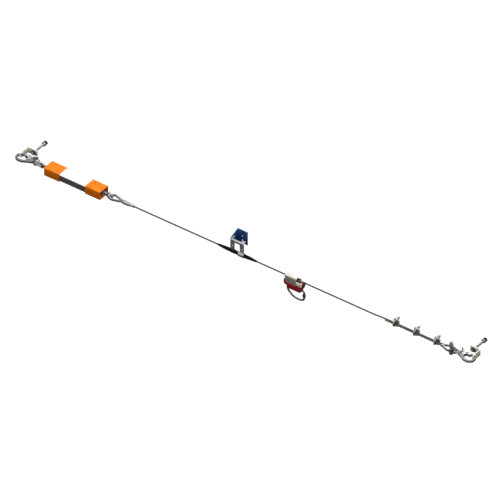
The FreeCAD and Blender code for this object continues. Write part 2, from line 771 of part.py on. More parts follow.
def cableGuide():
    half = guideT / 2
    z0, z1 = guideZ
    x0, x1 = guideLegs[0][0], guideLegs[1][1]
    outline = flatShape([
        (x0, sleeveR + seat), (guideLegs[0][1], sleeveR + seat), (guideLegs[0][1], z0, 6),
        (guideLegs[1][0], z0, 6), (guideLegs[1][0], sleeveR + 1), (x1, sleeveR + 1), (x1, z1, 5), (x0, z1, 5),
    ], guideT, -half, "xz")
    flange = box(x0 + 5, guideLegs[1][0], half - 0.5, half + 7.5, z1 - guideT, z1)
    wing = box(guideLegs[1][0], x1 - 5, half - 0.5, half + 21, z1 - guideT, z1)
    tabX = bracketX - bracketHalfX + plateT
    tab = box(tabX, tabX + guideT, -half, guideTabY, z0 - 8, z1)
    c0, c1 = clampX
    clamp = ring(Vec(c0, 0, 0), X, sleeveR + clampT + slip, sleeveR + slip, c1 - c0)
    clamp = clamp.cut(box(c0 - 1, c1 + 1, 2, 20, -3, 3))
    cradle = ring(Vec(x0 + 2, 0, 0), X, sleeveR + clampT + slip, sleeveR + slip, guideLegs[0][1] - x0 - 4)
    cradle = cradle.common(box(x0, guideLegs[0][1], -half, 20, -20, 20))
    guide = joined([outline, flange, wing, tab, clamp, cradle])
    for leg in guideLegs:
        guide = guide.cut(rod(Vec(sum(leg) / 2, -20, guideHoleZ), Y, guideHoleR, 40))
    for y, z in guideScrewYZ:
        guide = guide.cut(rod(Vec(tabX - 5, y, z), X, guideScrewR + slip, 20))
    return guide.cut(rod(Vec(x0 - 5, 0, 0), X, sleeveR + slip, x1 - x0 + 20))


def guideScrews():
    x = bracketX - bracketHalfX
    screws = []
    for y, z in guideScrewYZ:
        shank = rod(Vec(x, y, z), X, guideScrewR, plateT + guideT)
        head = rod(Vec(x - 3, y, z), X, guideScrewR + 2.5, 3)
        tail = rod(Vec(x + plateT + guideT, y, z), X, guideScrewR + 1.8, 2)
        screws.append(joined([shank, head, tail]))
    return Part.makeCompound(screws)


def sleeve():
    inner = ropeR + slip
    full = sleeveHalf - sleeveTaper
    profile = Part.makePolygon([
        Vec(-sleeveHalf, 0, inner), Vec(-sleeveHalf, 0, sleeveEndR), Vec(-full, 0, sleeveR),
        Vec(full, 0, sleeveR), Vec(sleeveHalf, 0, sleeveEndR), Vec(sleeveHalf, 0, inner),
        Vec(-sleeveHalf, 0, inner),
    ])
    return Part.Face(profile).revolve(Vec(0, 0, 0), X, 360)


def travellerShell():
    """A bent steel cover: a crown over the rope and two walls down each side of it."""
    x0, x1 = (travellerX + x for x in shellX)
    xc = travellerX + crownEnd
    crown = ring(Vec(x0, 0, 0), X, shellR, shellR - shellT, xc - x0)
    crown = crown.common(box(x0, xc, -20, 20, 0, 20))
    notch = box(x1, xc + 1, -20, 3, -40, 20)
    walls = [box(x0, x1, -shellR, -shellR + shellT, shellBottom, 0),
             box(x0, xc, shellR - shellT, shellR, shellBottom, 0)]
    shell = joined([crown] + walls).cut(notch)
    for x in rollerX:
        shell = shell.cut(rod(Vec(travellerX + x, -30, rollerZ()), Y, rollerBoreR, 60))
    return shell


def rollerZ():
    return -(grooveR + seat + rollerR - 1.5) + 0.9


def slideShoe():
    """The bronze liner between the rope and the crown."""
    x0, x1 = (travellerX + x for x in shellX)
    liner = ring(Vec(x0 + 2, 0, 0), X, shellR - shellT - slip, ropeR + seat, x1 - x0 - 4)
    return liner.common(box(x0, x1, -20, 20, 1.0, 20))


def guideRoller(x):
    centre = Vec(travellerX + x, 0, rollerZ())
    wheel = rod(centre - Y * rollerHalfY, Y, rollerR, 2 * rollerHalfY)
    groove = Part.makeTorus(rollerZ() * -1, ropeR + seat, centre, Y)
    wheel = wheel.cut(groove)
    return wheel.cut(rod(centre - Y * 20, Y, rollerBoreR + fit, 40))


def rollerAxles():
    pins = []
    for x in rollerX:
        centre = Vec(travellerX + x, 0, rollerZ())
        reach = (-shellR, shellR) if x < shellX[1] else (-bodyHalfY, bodyHalfY)
        pins.append(rod(centre + Y * reach[0], Y, rollerBoreR, reach[1] - reach[0]))
    return Part.makeCompound(pins)


def travellerBody():
    """The red moulding under the shell, with the tunnel that the connector hangs from."""
    tx = travellerX
    outline = [
        (tx - 58, -18, 3), (tx - 57, -40, 5), (tx - 50, lugTop, 2), (tx - lugLeft, lugTop, 2),
        (tx - lugLeft + 2, bodyBottom, 4), (tx + lugRight - 2, bodyBottom, 4), (tx + lugRight, lugTop, 2),
        (tx + 48, -36, 5), (tx + 53, -10, 3), (tx + 53, bodyTop + 18, 1), (tx + 49, bodyTop + 18, 1),
        (tx + 49, bodyTop), (tx - 52, bodyTop, 2), (tx - 53, -14, 1),
    ]
    body = flatShape(outline, 2 * bodyHalfY, -bodyHalfY, "xz")
    x0, x1 = (tx + x for x in shellX)
    xc = tx + crownEnd
    wallIn = shellR - shellT
    for a, b, y0, y1 in ((x0, x1, -bodyHalfY - 1, -wallIn), (x0, xc, wallIn, bodyHalfY + 1)):
        body = body.cut(box(a - seat, b + seat, y0, y1, shellBottom - seat, 0))
    body = body.cut(rod(Vec(tx - 100, 0, 0), X, ropeR + 1.2, 200))
    for x in rollerX:
        centre = Vec(tx + x, 0, rollerZ())
        body = body.cut(rod(centre - Y * (rollerHalfY + 0.5), Y, rollerR + 1.0, 2 * rollerHalfY + 1))
        body = body.cut(rod(centre - Y * 20, Y, rollerBoreR + slip, 40))
    pin = Vec(tx + latchPivot[0], -bodyHalfY - 1, latchPivot[1])
    body = body.cut(rod(pin, Y, latchPinR + slip / 2, latchPinDepth + 1.5))
    return body.cut(rod(Vec(tx - 100, 0, ringZ), X, ringHoleR, 200))


def connectorX():
    """The upright side of the connector, where its gate is."""
    return travellerX + 53


def ringPath():
    tx = travellerX
    corners = [
        (tx + 4, ringZ, 0), (tx - 46, ringZ, 9), (tx - 41, -82, 20), (tx - 6, -111, 24),
        (tx + 36, -111, 18), (connectorX(), -99, 12), (connectorX(), ringZ, 9),
    ]
    return roundedEdges([(Vec(x, 0, z), r) for x, z, r in corners], True)


def connectorRing():
    x = connectorX()
    loop = pipe(ringPath(), ringR)
    loop = loop.cut(box(x - 9, x + 9, -20, 20, gateShoulderZ, gateTopZ))
    fork = tongueHalf + 0.2
    loop = loop.cut(box(x - 9, x + 9, -fork, fork, gatePinZ - ringR - seat, gateShoulderZ))
    return loop.cut(rod(Vec(x, -20, gatePinZ), Y, gatePinR + slip, 40))


def connectorGate():
    """The gate bar; its heel is sloped and its top is short enough to clear the ring as it opens."""
    x = connectorX()
    heel = gateShoulderZ + seat
    top = gatePinZ + math.sqrt((gateTopZ - gatePinZ - slip) ** 2 - ringR ** 2)
    bar = rod(Vec(x, 0, heel), Z, ringR, top - heel)
    opens = math.radians(gateOpens)
    lift = gatePinZ + (gateShoulderZ - gatePinZ + 2 * slip) / math.cos(opens)
    wide = ringR + 1
    slope = wide * math.tan(opens)
    relief = [(x + wide, lift - slope), (x - wide, lift + slope), (x - wide, heel - wide), (x + wide, heel - wide)]
    bar = bar.cut(flatShape(relief, 2 * wide, -wide, "xz"))
    tongue = rod(Vec(x, -tongueHalf, gatePinZ), Y, ringR - 0.3, 2 * tongueHalf)
    neck = box(x - ringR + 0.5, x + ringR - 0.5, -tongueHalf, tongueHalf, gatePinZ, lift + slope)
    gate = joined([bar, tongue, neck])
    return gate.cut(rod(Vec(x, -20, gatePinZ), Y, gatePinR + fit, 40))


def connectorGatePin():
    reach = math.sqrt(ringR ** 2 - gatePinR ** 2)
    return rod(Vec(connectorX(), -reach, gatePinZ), Y, gatePinR, 2 * reach)


def lockSleeve():
    start = Vec(connectorX(), 0, gateShoulderZ + seat)
    tube = ring(start, Z, lockSleeveR, ringR + seat, lockSleeveLength)
    rims = [e for e in tube.Edges if e.BoundBox.XLength > 2 * ringR + 2 and e.BoundBox.ZLength < 0.01]
    return tube.makeFillet(1.0, rims)


def travellerLatch():
    """The side lever that closes the traveller's mouth over the rope."""
    tx = travellerX
    px, pz = tx + latchPivot[0], latchPivot[1]
    plate = flatShape([
        (tx + 16.5, -3, 3), (tx + 16.5, -19, 4), (tx + 36, -27, 6),
        (tx + 50, -22, 5), (tx + 50, -5, 6), (tx + 38, -2, 6),
    ], latchT, -bodyHalfY - seat - latchT, "xz")
    return plate.cut(rod(Vec(px, -30, pz), Y, latchPinR + fit, 40))


def latchPin():
    px, pz = travellerX + latchPivot[0], latchPivot[1]
    outer = -bodyHalfY - seat - latchT
    shank = rod(Vec(px, outer - 0.3, pz), Y, latchPinR, latchT + seat + 0.3 + latchPinDepth)
    head = rod(Vec(px, outer - 1.8, pz), Y, latchPinR + 2.0, 1.5)
    return joined([shank, head])


def save(name, shape):
    """Moves a piece from the line's frame to the stored frame and writes it."""
    solids = shape.Solids
    whole = solids[0] if len(solids) == 1 else Part.makeCompound(solids)
    whole = whole.copy()
    whole.translate(lineToWall)
    whole.exportStep("parts/%s.step" % name)


def endPieces(side):
    found = {
        "anchor_plate": anchorPlate(), "anchor_rod": anchorRod(), "anchor_nuts": anchorNuts(),
        "anchor_washer": anchorWasher(), "hook_body": hookBody(), "hook_gate": hookGate(),
        "hook_lock_lever": lockLever(), "hook_rivets": hookRivets(), "gate_spring": gateSpring(),
        "swivel_eye": swivelEye(side),
    }
    return {"%s_%s" % (side, name): place(shape, side) for name, shape in found.items()}


pieces = {
    "wire_rope": wireRope(),
    "sleeve": sleeve(),
    "bracket_plate": bracketPlate(),
    "cable_guide": cableGuide(),
    "guide_screws": guideScrews(),
    "left_shackle_bow": shackleBow(
        smallPinX(), Y, smallHalfGap(), smallEarT, smallEarR, smallBarR, smallLeg, smallPinR),
    "left_shackle_pin": shacklePin(
        smallPinX(), Y, smallHalfGap(), smallEarT, smallPinR, smallHeadR, smallHeadT, smallNutH, smallPinTail),
    "left_shackle_nut": hexNut(
        Vec(smallPinX(), smallHalfGap() + smallEarT, 0), Y, smallNutAF, smallNutH, smallPinR + slip),
    "right_shackle_bow": shackleBow(
        bigPinX, Z, bigHalfGap, bigEarT, bigEarR, bigBarR, bigLeg(), bigPinR),
    "right_shackle_pin": shacklePin(
        bigPinX, Z, bigHalfGap, bigEarT, bigPinR, bigHeadR, bigHeadT, bigNutH, bigPinTail),
    "right_shackle_nut": hexNut(Vec(bigPinX, 0, bigHalfGap + bigEarT), Z, bigNutAF, bigNutH, bigPinR + slip),
    "absorber_cap_left": endCap("left"),
    "absorber_cap_right": endCap("right"),
    "absorber_sleeve": absorberSleeve(),
    "absorber_screws": absorberScrews(),
    "absorber_eye_left": endFitting("left"),
    "absorber_eye_right": endFitting("right"),
    "absorber_pins": fittingPins(),
    "absorber_tear_strip": tearStrip(),
    "left_thimble": thimble(leftLoopX, 1, leftLegs),
    "right_thimble": thimble(rightLoopX(), -1, rightLegs),
    "ferrule": ferrule(),
    "clip_u_bolts": Part.makeCompound([clipUBolt(x) for x in clipXs]),
    "clip_nuts": clipNuts(),
    "traveller_shell": travellerShell(),
    "traveller_slide_shoe": slideShoe(),
    "traveller_body": travellerBody(),
    "traveller_axles": rollerAxles(),
    "traveller_latch": travellerLatch(),
    "traveller_latch_pin": latchPin(),
    "connector_ring": connectorRing(),
    "connector_gate": connectorGate(),
    "connector_gate_pin": connectorGatePin(),
    "connector_lock_sleeve": lockSleeve(),
}
for number, x in enumerate(clipXs, 1):
    pieces["clip_saddle_%d" % number] = clipSaddle(x)
for number, x in enumerate(rollerX, 1):
    pieces["traveller_roller_%d" % number] = guideRoller(x)
for end in ("left", "right"):
    pieces.update(endPieces(end))

os.makedirs("parts", exist_ok=True)
for name, shape in pieces.items():
    save(name, shape)
print(len(pieces), "pieces")
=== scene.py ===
import bpy
import json
import math
from mathutils import Matrix, Vector

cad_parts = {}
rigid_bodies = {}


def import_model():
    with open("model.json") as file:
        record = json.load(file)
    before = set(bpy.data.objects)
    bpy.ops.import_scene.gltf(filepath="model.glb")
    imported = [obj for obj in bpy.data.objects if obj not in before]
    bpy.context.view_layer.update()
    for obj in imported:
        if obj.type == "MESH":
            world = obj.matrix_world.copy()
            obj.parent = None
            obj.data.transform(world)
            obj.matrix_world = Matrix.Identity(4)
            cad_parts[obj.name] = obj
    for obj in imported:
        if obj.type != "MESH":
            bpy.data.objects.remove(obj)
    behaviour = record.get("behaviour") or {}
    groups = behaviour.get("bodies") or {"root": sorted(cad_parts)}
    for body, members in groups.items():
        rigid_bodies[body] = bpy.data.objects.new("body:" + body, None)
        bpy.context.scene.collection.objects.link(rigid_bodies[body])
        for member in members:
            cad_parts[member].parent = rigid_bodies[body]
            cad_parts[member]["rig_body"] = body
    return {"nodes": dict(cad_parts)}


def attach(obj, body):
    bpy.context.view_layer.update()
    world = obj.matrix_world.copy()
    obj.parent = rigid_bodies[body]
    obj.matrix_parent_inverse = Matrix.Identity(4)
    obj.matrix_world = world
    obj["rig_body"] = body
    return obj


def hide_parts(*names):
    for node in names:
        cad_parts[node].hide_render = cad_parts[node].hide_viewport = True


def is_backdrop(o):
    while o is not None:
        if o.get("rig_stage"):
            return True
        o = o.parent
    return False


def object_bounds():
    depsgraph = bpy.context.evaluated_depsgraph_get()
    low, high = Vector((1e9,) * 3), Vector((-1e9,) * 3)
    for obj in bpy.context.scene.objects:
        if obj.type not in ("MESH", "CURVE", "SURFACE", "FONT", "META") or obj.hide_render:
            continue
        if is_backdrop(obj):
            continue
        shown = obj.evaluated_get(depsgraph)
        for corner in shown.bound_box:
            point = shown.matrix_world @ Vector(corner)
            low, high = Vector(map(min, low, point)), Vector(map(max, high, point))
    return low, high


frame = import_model()
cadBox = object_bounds()

# A wire rope lifeline on a wall: the rope runs along X, the wall is behind it at Y = 0, Z is up.
# Lengths are in metres. Every piece sits at the origin with its place in its mesh.
line = Vector((0.015, -0.063, -0.0445))  # the rope's axis at the middle of its sleeve


def at(x, y, z):
    # a place given in millimetres from the middle of the sleeve, on the rope's axis
    return line + Vector((x, y, z)) / 1000


# finishes

class Amount:
    # a number that changes over a surface, so that it can be written in plain sums
    def __init__(self, finish, socket):
        self.finish, self.socket = finish, socket

    def sum(self, operation, *others):
        values = [getattr(other, "socket", other) for other in others]
        made = self.finish.add("ShaderNodeMath", {"operation": operation}, dict(enumerate(values)))
        return Amount(self.finish, made.outputs[0])

    def __add__(self, other): return self.sum("ADD", self, other)
    def __radd__(self, other): return self.sum("ADD", other, self)
    def __sub__(self, other): return self.sum("SUBTRACT", self, other)
    def __rsub__(self, other): return self.sum("SUBTRACT", other, self)
    def __mul__(self, other): return self.sum("MULTIPLY", self, other)
    def __rmul__(self, other): return self.sum("MULTIPLY", other, self)
    def __truediv__(self, other): return self.sum("DIVIDE", self, other)
    def __rtruediv__(self, other): return self.sum("DIVIDE", other, self)
    def __pow__(self, other): return self.sum("POWER", self, other)


class Finish:
    # one material, with its nodes laid out from left to right
    def __init__(self, name, **constants):
        self.material = bpy.data.materials.new(name)
        self.material.use_nodes = True
        self.tree = self.material.node_tree
        self.shader = self.tree.nodes["Principled BSDF"]
        self.column = -1600
        for socket, value in constants.items():
            self.shader.inputs[socket.replace("_", " ")].default_value = value
        self.place = self.add("ShaderNodeTexCoord").outputs["Object"]

    def add(self, kind, settings=None, inputs=None):
        node = self.tree.nodes.new(kind)
        node.location = (self.column, 300 - (len(self.tree.nodes) % 5) * 180)
        self.column += 60
        for setting, value in (settings or {}).items():
            if setting == "stops":
                ramp = node.color_ramp
                while len(ramp.elements) < len(value):
                    ramp.elements.new(0.5)
                for element, (position, colour) in zip(ramp.elements, value):
                    element.position, element.color = position, (*colour, 1)
            else:
                setattr(node, setting, value)
        for socket, value in (inputs or {}).items():
            value = getattr(value, "socket", value)
            if isinstance(value, bpy.types.NodeSocket):
                self.tree.links.new(value, node.inputs[socket])
            else:
                node.inputs[socket].default_value = value
        return node

    def stretched(self, scale):
        return self.add("ShaderNodeMapping", None, {"Vector": self.place, "Scale": scale}).outputs[0]

    def noise(self, size, detail=4.0, roughness=0.55, where=None):
        # size is the width of one blotch, in metres
        made = self.add("ShaderNodeTexNoise", None, {
            "Vector": where or self.place, "Scale": 1 / size, "Detail": detail, "Roughness": roughness})
        return Amount(self, made.outputs["Fac"])

    def cells(self, size, feature="F1", where=None):
        made = self.add("ShaderNodeTexVoronoi", {"feature": feature}, {
            "Vector": where or self.place, "Scale": 1 / size})
        return made

    def blend(self, amount, first, second):
        made = self.add("ShaderNodeMix", {"data_type": "RGBA"}, {
            "Factor": amount, 6: first, 7: second})
        return made.outputs[2]

    def limits(self, amount, low, high):
        made = self.add("ShaderNodeMapRange", {"interpolation_type": "SMOOTHSTEP"}, {
            "Value": amount, "From Min": low, "From Max": high})
        return Amount(self, made.outputs[0])

    def colour(self, socket):
        self.tree.links.new(getattr(socket, "socket", socket), self.shader.inputs["Base Color"])

    def roughness(self, amount):
        self.tree.links.new(amount.socket, self.shader.inputs["Roughness"])

    def bump(self, height, distance, strength=1.0):
        made = self.add("ShaderNodeBump", None, {
            "Height": height, "Distance": distance, "Strength": strength})
        self.tree.links.new(made.outputs[0], self.shader.inputs["Normal"])


def tone(colour, share=1.0):
    return (*[min(1.0, c * share) for c in colour], 1)


def zincSteel(name, colour, rough=0.36, spangle=0.006):
    # hot dipped zinc: patchy crystals, a few dull spots and a fine grain
    f = Finish(name, Metallic=0.6, Specular_IOR_Level=0.4)
    crystal = f.cells(spangle)
    shade = Amount(f, crystal.outputs["Color"])
    cloud = f.noise(0.018)
    grain = f.noise(0.0009, 3.0)
    mixed = f.limits(shade * 0.45 + cloud * 0.75, 0.3, 0.85)
    base = f.blend(mixed, tone(colour, 0.72), tone(colour, 1.12))
    dull = f.limits(f.noise(0.009, 6.0), 0.58, 0.74)
    f.colour(f.blend(dull * 0.5, base, tone(colour, 0.6)))
    f.roughness(rough + 0.16 * cloud + 0.12 * dull + 0.05 * grain)
    f.bump(grain * 0.6 + shade * 0.4, 0.00008, 0.7)
    return f.material


def forgedSteel(name, colour, rough=0.42):
    # drop forged and plated: a soft pitted skin with darker hollows
    f = Finish(name, Metallic=0.65, Specular_IOR_Level=0.4)
    skin = f.noise(0.0035, 6.0, 0.6)
    broad = f.noise(0.02)
    pits = f.limits(f.noise(0.0016, 4.0), 0.6, 0.75)
    base = f.blend(f.limits(skin * 0.5 + broad * 0.5, 0.32, 0.68), tone(colour, 0.66), tone(colour, 1.18))
    f.colour(f.blend(pits * 0.55, base, tone(colour, 0.42)))
    f.roughness(rough + 0.14 * skin + 0.12 * pits)
    f.bump(skin - 0.5 * pits, 0.00018, 0.8)
    return f.material


def brushedSteel(name, colour, along=(1, 14, 14), rough=0.28):
    # fine lines left by a belt, with a little handling dirt
    f = Finish(name, Metallic=0.65, Specular_IOR_Level=0.4)
    lines = f.noise(0.004, 5.0, 0.7, f.stretched(along))
    dirt = f.limits(f.noise(0.013, 5.0), 0.5, 0.75)
    base = f.blend(lines, tone(colour, 0.8), tone(colour, 1.14))
    f.colour(f.blend(dirt * 0.3, base, tone(colour, 0.58)))
    f.roughness(rough + 0.16 * lines + 0.14 * dirt)
    f.bump(lines, 0.00006, 0.6)
    return f.material


def paintedSteel(name, colour, rough=0.38, orange=0.0016):
    # powder coat: a fine orange peel, with a thin dusting in places
    f = Finish(name, Metallic=0.0, Specular_IOR_Level=0.5, Coat_Weight=0.25, Coat_Roughness=0.2)
    peel = f.noise(orange, 2.0, 0.4)
    broad = f.noise(0.03)
    dust = f.limits(f.noise(0.011, 6.0), 0.56, 0.78)
    base = f.blend(f.limits(broad, 0.35, 0.65), tone(colour, 0.88), tone(colour, 1.1))
    f.colour(f.blend(dust * 0.12, base, (0.62, 0.6, 0.57, 1)))
    f.roughness(rough + 0.08 * peel + 0.16 * dust)
    f.bump(peel, 0.00012, 0.6)
    return f.material


def mouldedPlastic(name, colour, rough=0.34, grain=0.0008, shine=0.0, specular=0.5):
    # injection moulded: a spark-eroded grain, slight flow shading and light scuffs
    f = Finish(name, Metallic=0.0, Specular_IOR_Level=specular, Coat_Weight=shine, Coat_Roughness=0.08)
    fine = f.noise(grain, 3.0, 0.5)
    flow = f.noise(0.045, 2.0, 0.4, f.stretched((1, 2, 2)))
    scuff = f.limits(f.noise(0.006, 8.0, 0.7, f.stretched((1, 5, 5))), 0.62, 0.8)
    base = f.blend(f.limits(flow, 0.3, 0.7), tone(colour, 0.93), tone(colour, 1.06))
    f.colour(f.blend(scuff * 0.15, base, tone(colour, 1.3)))
    f.roughness(rough + 0.08 * fine + 0.18 * scuff)
    f.bump(fine, 0.00007, 0.5)
    return f.material


def blackOxide(name, rough=0.4):
    f = Finish(name, Metallic=0.7, Specular_IOR_Level=0.5)
    film = f.noise(0.005, 5.0)
    worn = f.limits(f.noise(0.0025, 5.0), 0.62, 0.76)
    base = f.blend(film, (0.012, 0.012, 0.014, 1), (0.04, 0.038, 0.036, 1))
    f.colour(f.blend(worn * 0.4, base, (0.16, 0.15, 0.14, 1)))
    f.roughness(rough + 0.2 * film - 0.1 * worn)
    f.bump(film, 0.00006, 0.5)
    return f.material


def dyedAluminium(name, colour, along=(14, 14, 1)):
    f = Finish(name, Metallic=0.85, Specular_IOR_Level=0.5)
    lines = f.noise(0.003, 4.0, 0.6, f.stretched(along))
    rub = f.limits(f.noise(0.004, 6.0), 0.6, 0.8)
    base = f.blend(lines, tone(colour, 0.8), tone(colour, 1.25))
    f.colour(f.blend(rub * 0.35, base, (0.6, 0.52, 0.52, 1)))
    f.roughness(0.26 + 0.14 * lines + 0.12 * rub)
    f.bump(lines, 0.00005, 0.5)
    return f.material


print("finishes")
finishes = {
    "rope": zincSteel("ropeZinc", (0.1, 0.097, 0.09), 0.5, 0.002),
    "sleeve": mouldedPlastic("sleeveBlack", (0.005, 0.005, 0.0055), 0.7, 0.0009, 0.0, 0.06),
    "bracket": paintedSteel("bracketNavy", (0.012, 0.06, 0.19), 0.34),
    "guide": brushedSteel("guideStainless", (0.42, 0.42, 0.44), (14, 14, 1), 0.36),
    "screw": brushedSteel("screwSteel", (0.55, 0.55, 0.56), (6, 6, 6)),
    "shackle": forgedSteel("shackleForged", (0.34, 0.33, 0.33)),
    "shackleNut": zincSteel("shackleNutZinc", (0.34, 0.34, 0.36), 0.34, 0.003),
    "cap": mouldedPlastic("capOrange", (0.7, 0.165, 0.004), 0.5, 0.0009, 0.0, 0.15),
    "band": mouldedPlastic("bandWhite", (0.88, 0.89, 0.9), 0.3, 0.0009, 0.15),
    "capFloor": zincSteel("capFloorZinc", (0.2, 0.19, 0.18), 0.5, 0.004),
    "bandDark": mouldedPlastic("bandDarkGrey", (0.12, 0.098, 0.086), 0.32),
    "absorberEye": zincSteel("absorberEyeZinc", (0.42, 0.42, 0.44), 0.36, 0.004),
    "tearStrip": brushedSteel("tearStripSteel", (0.55, 0.54, 0.5)),
    "thimble": zincSteel("thimbleZinc", (0.4, 0.4, 0.4), 0.44, 0.004),
    "clip": zincSteel("clipZinc", (0.36, 0.36, 0.32), 0.48, 0.003),
    "clipNut": zincSteel("clipNutZinc", (0.28, 0.28, 0.29), 0.4, 0.003),
    "shell": brushedSteel("shellSilver", (0.66, 0.61, 0.53), (1, 12, 12), 0.36),
    "shoe": mouldedPlastic("shoeNylon", (0.72, 0.72, 0.69), 0.4),
    "body": mouldedPlastic("bodyDarkRed", (0.34, 0.014, 0.014), 0.22, 0.0012, 0.9),
    "axle": brushedSteel("axleSteel", (0.55, 0.55, 0.56), (8, 1, 8)),
    "latch": mouldedPlastic("latchCream", (0.8, 0.73, 0.58), 0.3, 0.0009, 0.2),
    "roller": brushedSteel("rollerSteel", (0.55, 0.55, 0.56), (8, 8, 8)),
    "connector": brushedSteel("connectorSteel", (0.19, 0.18, 0.18), (5, 5, 5), 0.3),
    "lockSleeve": dyedAluminium("lockSleeveMaroon", (0.3, 0.02, 0.06)),
    "plate": paintedSteel("plateCream", (0.76, 0.73, 0.64), 0.4),
    "rod": zincSteel("rodZinc", (0.42, 0.42, 0.43), 0.45, 0.003),
    "anchorNut": blackOxide("nutBlack"),
    "washer": zincSteel("washerZinc", (0.62, 0.62, 0.63), 0.32, 0.003),
    "hook": forgedSteel("hookForged", (0.22, 0.22, 0.2), 0.4),
    "hookGate": brushedSteel("gatePressed", (0.6, 0.585, 0.66), (3, 12, 12), 0.3),
    "hookLever": brushedSteel("leverPressed", (0.6, 0.57, 0.6), (3, 12, 12), 0.3),
    "rivet": brushedSteel("rivetSteel", (0.5, 0.48, 0.42), (6, 6, 6)),
    "spring": brushedSteel("springSteel", (0.5, 0.5, 0.5), (6, 6, 6)),
    "swivel": forgedSteel("swivelForged", (0.36, 0.36, 0.37), 0.38),
}
nodeFinish = {
    "wire_rope": "rope", "sleeve": "sleeve", "bracket_plate": "bracket", "cable_guide": "guide",
    "guide_screws": "screw", "absorber_screws": "cap",
    "left_shackle_bow": "shackle", "left_shackle_pin": "shackle", "left_shackle_nut": "shackleNut",
    "right_shackle_bow": "shackle", "right_shackle_pin": "shackle", "right_shackle_nut": "shackleNut",
    "absorber_cap_left": "cap", "absorber_cap_right": "cap", "absorber_sleeve": "band",
    "absorber_eye_left": "absorberEye", "absorber_eye_right": "absorberEye", "absorber_pins": "screw",
    "absorber_tear_strip": "tearStrip", "left_thimble": "thimble", "right_thimble": "thimble",
    "ferrule": "thimble", "clip_saddle_1": "clip", "clip_saddle_2": "clip", "clip_saddle_3": "clip",
    "clip_u_bolts": "clip", "clip_nuts": "clipNut", "traveller_shell": "shell",
    "traveller_slide_shoe": "shoe", "traveller_body": "body", "traveller_axles": "axle",
    "traveller_latch_pin": "axle", "traveller_latch": "latch", "traveller_roller_1": "roller",
    "traveller_roller_2": "roller", "connector_ring": "connector", "connector_gate": "connector",
    "connector_gate_pin": "axle", "connector_lock_sleeve": "lockSleeve",
}
endFinish = {
    "anchor_plate": "plate", "anchor_rod": "rod", "anchor_nuts": "anchorNut", "anchor_washer": "washer",
    "hook_body": "hook", "hook_gate": "hookGate", "hook_lock_lever": "hookLever", "hook_rivets": "rivet",
    "gate_spring": "spring", "swivel_eye": "swivel",
}
for end in ("left", "right"):
    nodeFinish.update({"%s_%s" % (end, node): finish for node, finish in endFinish.items()})
for node, finish in nodeFinish.items():
    mesh = bpy.data.objects[node].data
    mesh.materials.clear()
    mesh.materials.append(finishes[finish])


# ways of making pieces

def clearSelection():
    if bpy.context.object and bpy.context.object.mode != "OBJECT":
        bpy.ops.object.mode_set(mode="OBJECT")
    bpy.ops.object.select_all(action="DESELECT")


def chosen(piece, test, kind="faces"):
    # leaves edit mode with only the faces, edges or vertices that pass the test selected
    bpy.ops.object.mode_set(mode="EDIT")
    bpy.ops.mesh.select_mode(type={"faces": "FACE", "edges": "EDGE", "vertices": "VERT"}[kind])
    bpy.ops.mesh.select_all(action="DESELECT")
    bpy.ops.object.mode_set(mode="OBJECT")
    mesh = piece.data
    for part in getattr(mesh, "polygons" if kind == "faces" else kind):
        if kind == "edges":
            ends = [mesh.vertices[v].co for v in part.vertices]
            part.select = test(ends[0], ends[1])
        elif kind == "faces":
            part.select = test(part.center, part.normal)
        else:
            part.select = test(part.co)
    bpy.ops.object.mode_set(mode="EDIT")


def modified(piece, kind, **settings):
    modifier = piece.modifiers.new(kind.title(), kind)
    for setting, value in settings.items():
        setattr(modifier, setting, value)
    bpy.context.view_layer.objects.active = piece
    bpy.ops.object.modifier_apply(modifier=modifier.name)


def tidied(piece):
    # one closed skin with its faces pointing outwards
    clearSelection()
    piece.select_set(True)
    bpy.context.view_layer.objects.active = piece
    bpy.ops.object.mode_set(mode="EDIT")
    bpy.ops.mesh.select_all(action="SELECT")
    bpy.ops.mesh.remove_doubles(threshold=0.000002)
    bpy.ops.mesh.normals_make_consistent(inside=False)
    bpy.ops.object.mode_set(mode="OBJECT")


def turned(name, stations, sides=48):
    # lathe work along Z: a ring is drawn out through (height, radius) stations; the last one may
    # be the first again, which leaves a bore
    clearSelection()
    height, radius = stations[0]
    bpy.ops.mesh.primitive_circle_add(vertices=sides, radius=radius, location=(0, 0, height))
    piece = bpy.context.object
    piece.name = name
    bpy.ops.object.transform_apply(location=True)
    bpy.ops.object.mode_set(mode="EDIT")
    for nextHeight, nextRadius in stations[1:]:
        bpy.ops.mesh.extrude_edges_move(
            TRANSFORM_OT_translate={"value": (0, 0, nextHeight - height)})
        share = nextRadius / radius
        bpy.ops.transform.resize(value=(share, share, 1), center_override=(0, 0, nextHeight))
        height, radius = nextHeight, nextRadius
    bpy.ops.mesh.select_all(action="SELECT")
    bpy.ops.mesh.remove_doubles(threshold=0.000002)
    if stations[0] != stations[-1]:
        bpy.ops.mesh.fill_holes(sides=0)
    bpy.ops.object.mode_set(mode="OBJECT")
    tidied(piece)
    return piece


def laidAlong(piece, axis, start):
    # stands the piece's Z on the given axis, with its base at start
    turn = Vector((0, 0, 1)).rotation_difference(Vector(axis)).to_matrix().to_4x4()
    piece.data.transform(Matrix.Translation(start) @ turn)


def finished(piece, body, finish, nodes=(), angle=35):
    clearSelection()
    piece.select_set(True)
    bpy.context.view_layer.objects.active = piece
    bpy.ops.object.shade_smooth_by_angle(angle=math.radians(angle))
    piece.data.materials.clear()
    piece.data.materials.append(finishes[finish])
    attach(piece, body)
    if nodes:
        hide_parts(*nodes)
    clearSelection()
    return piece


# wire rope

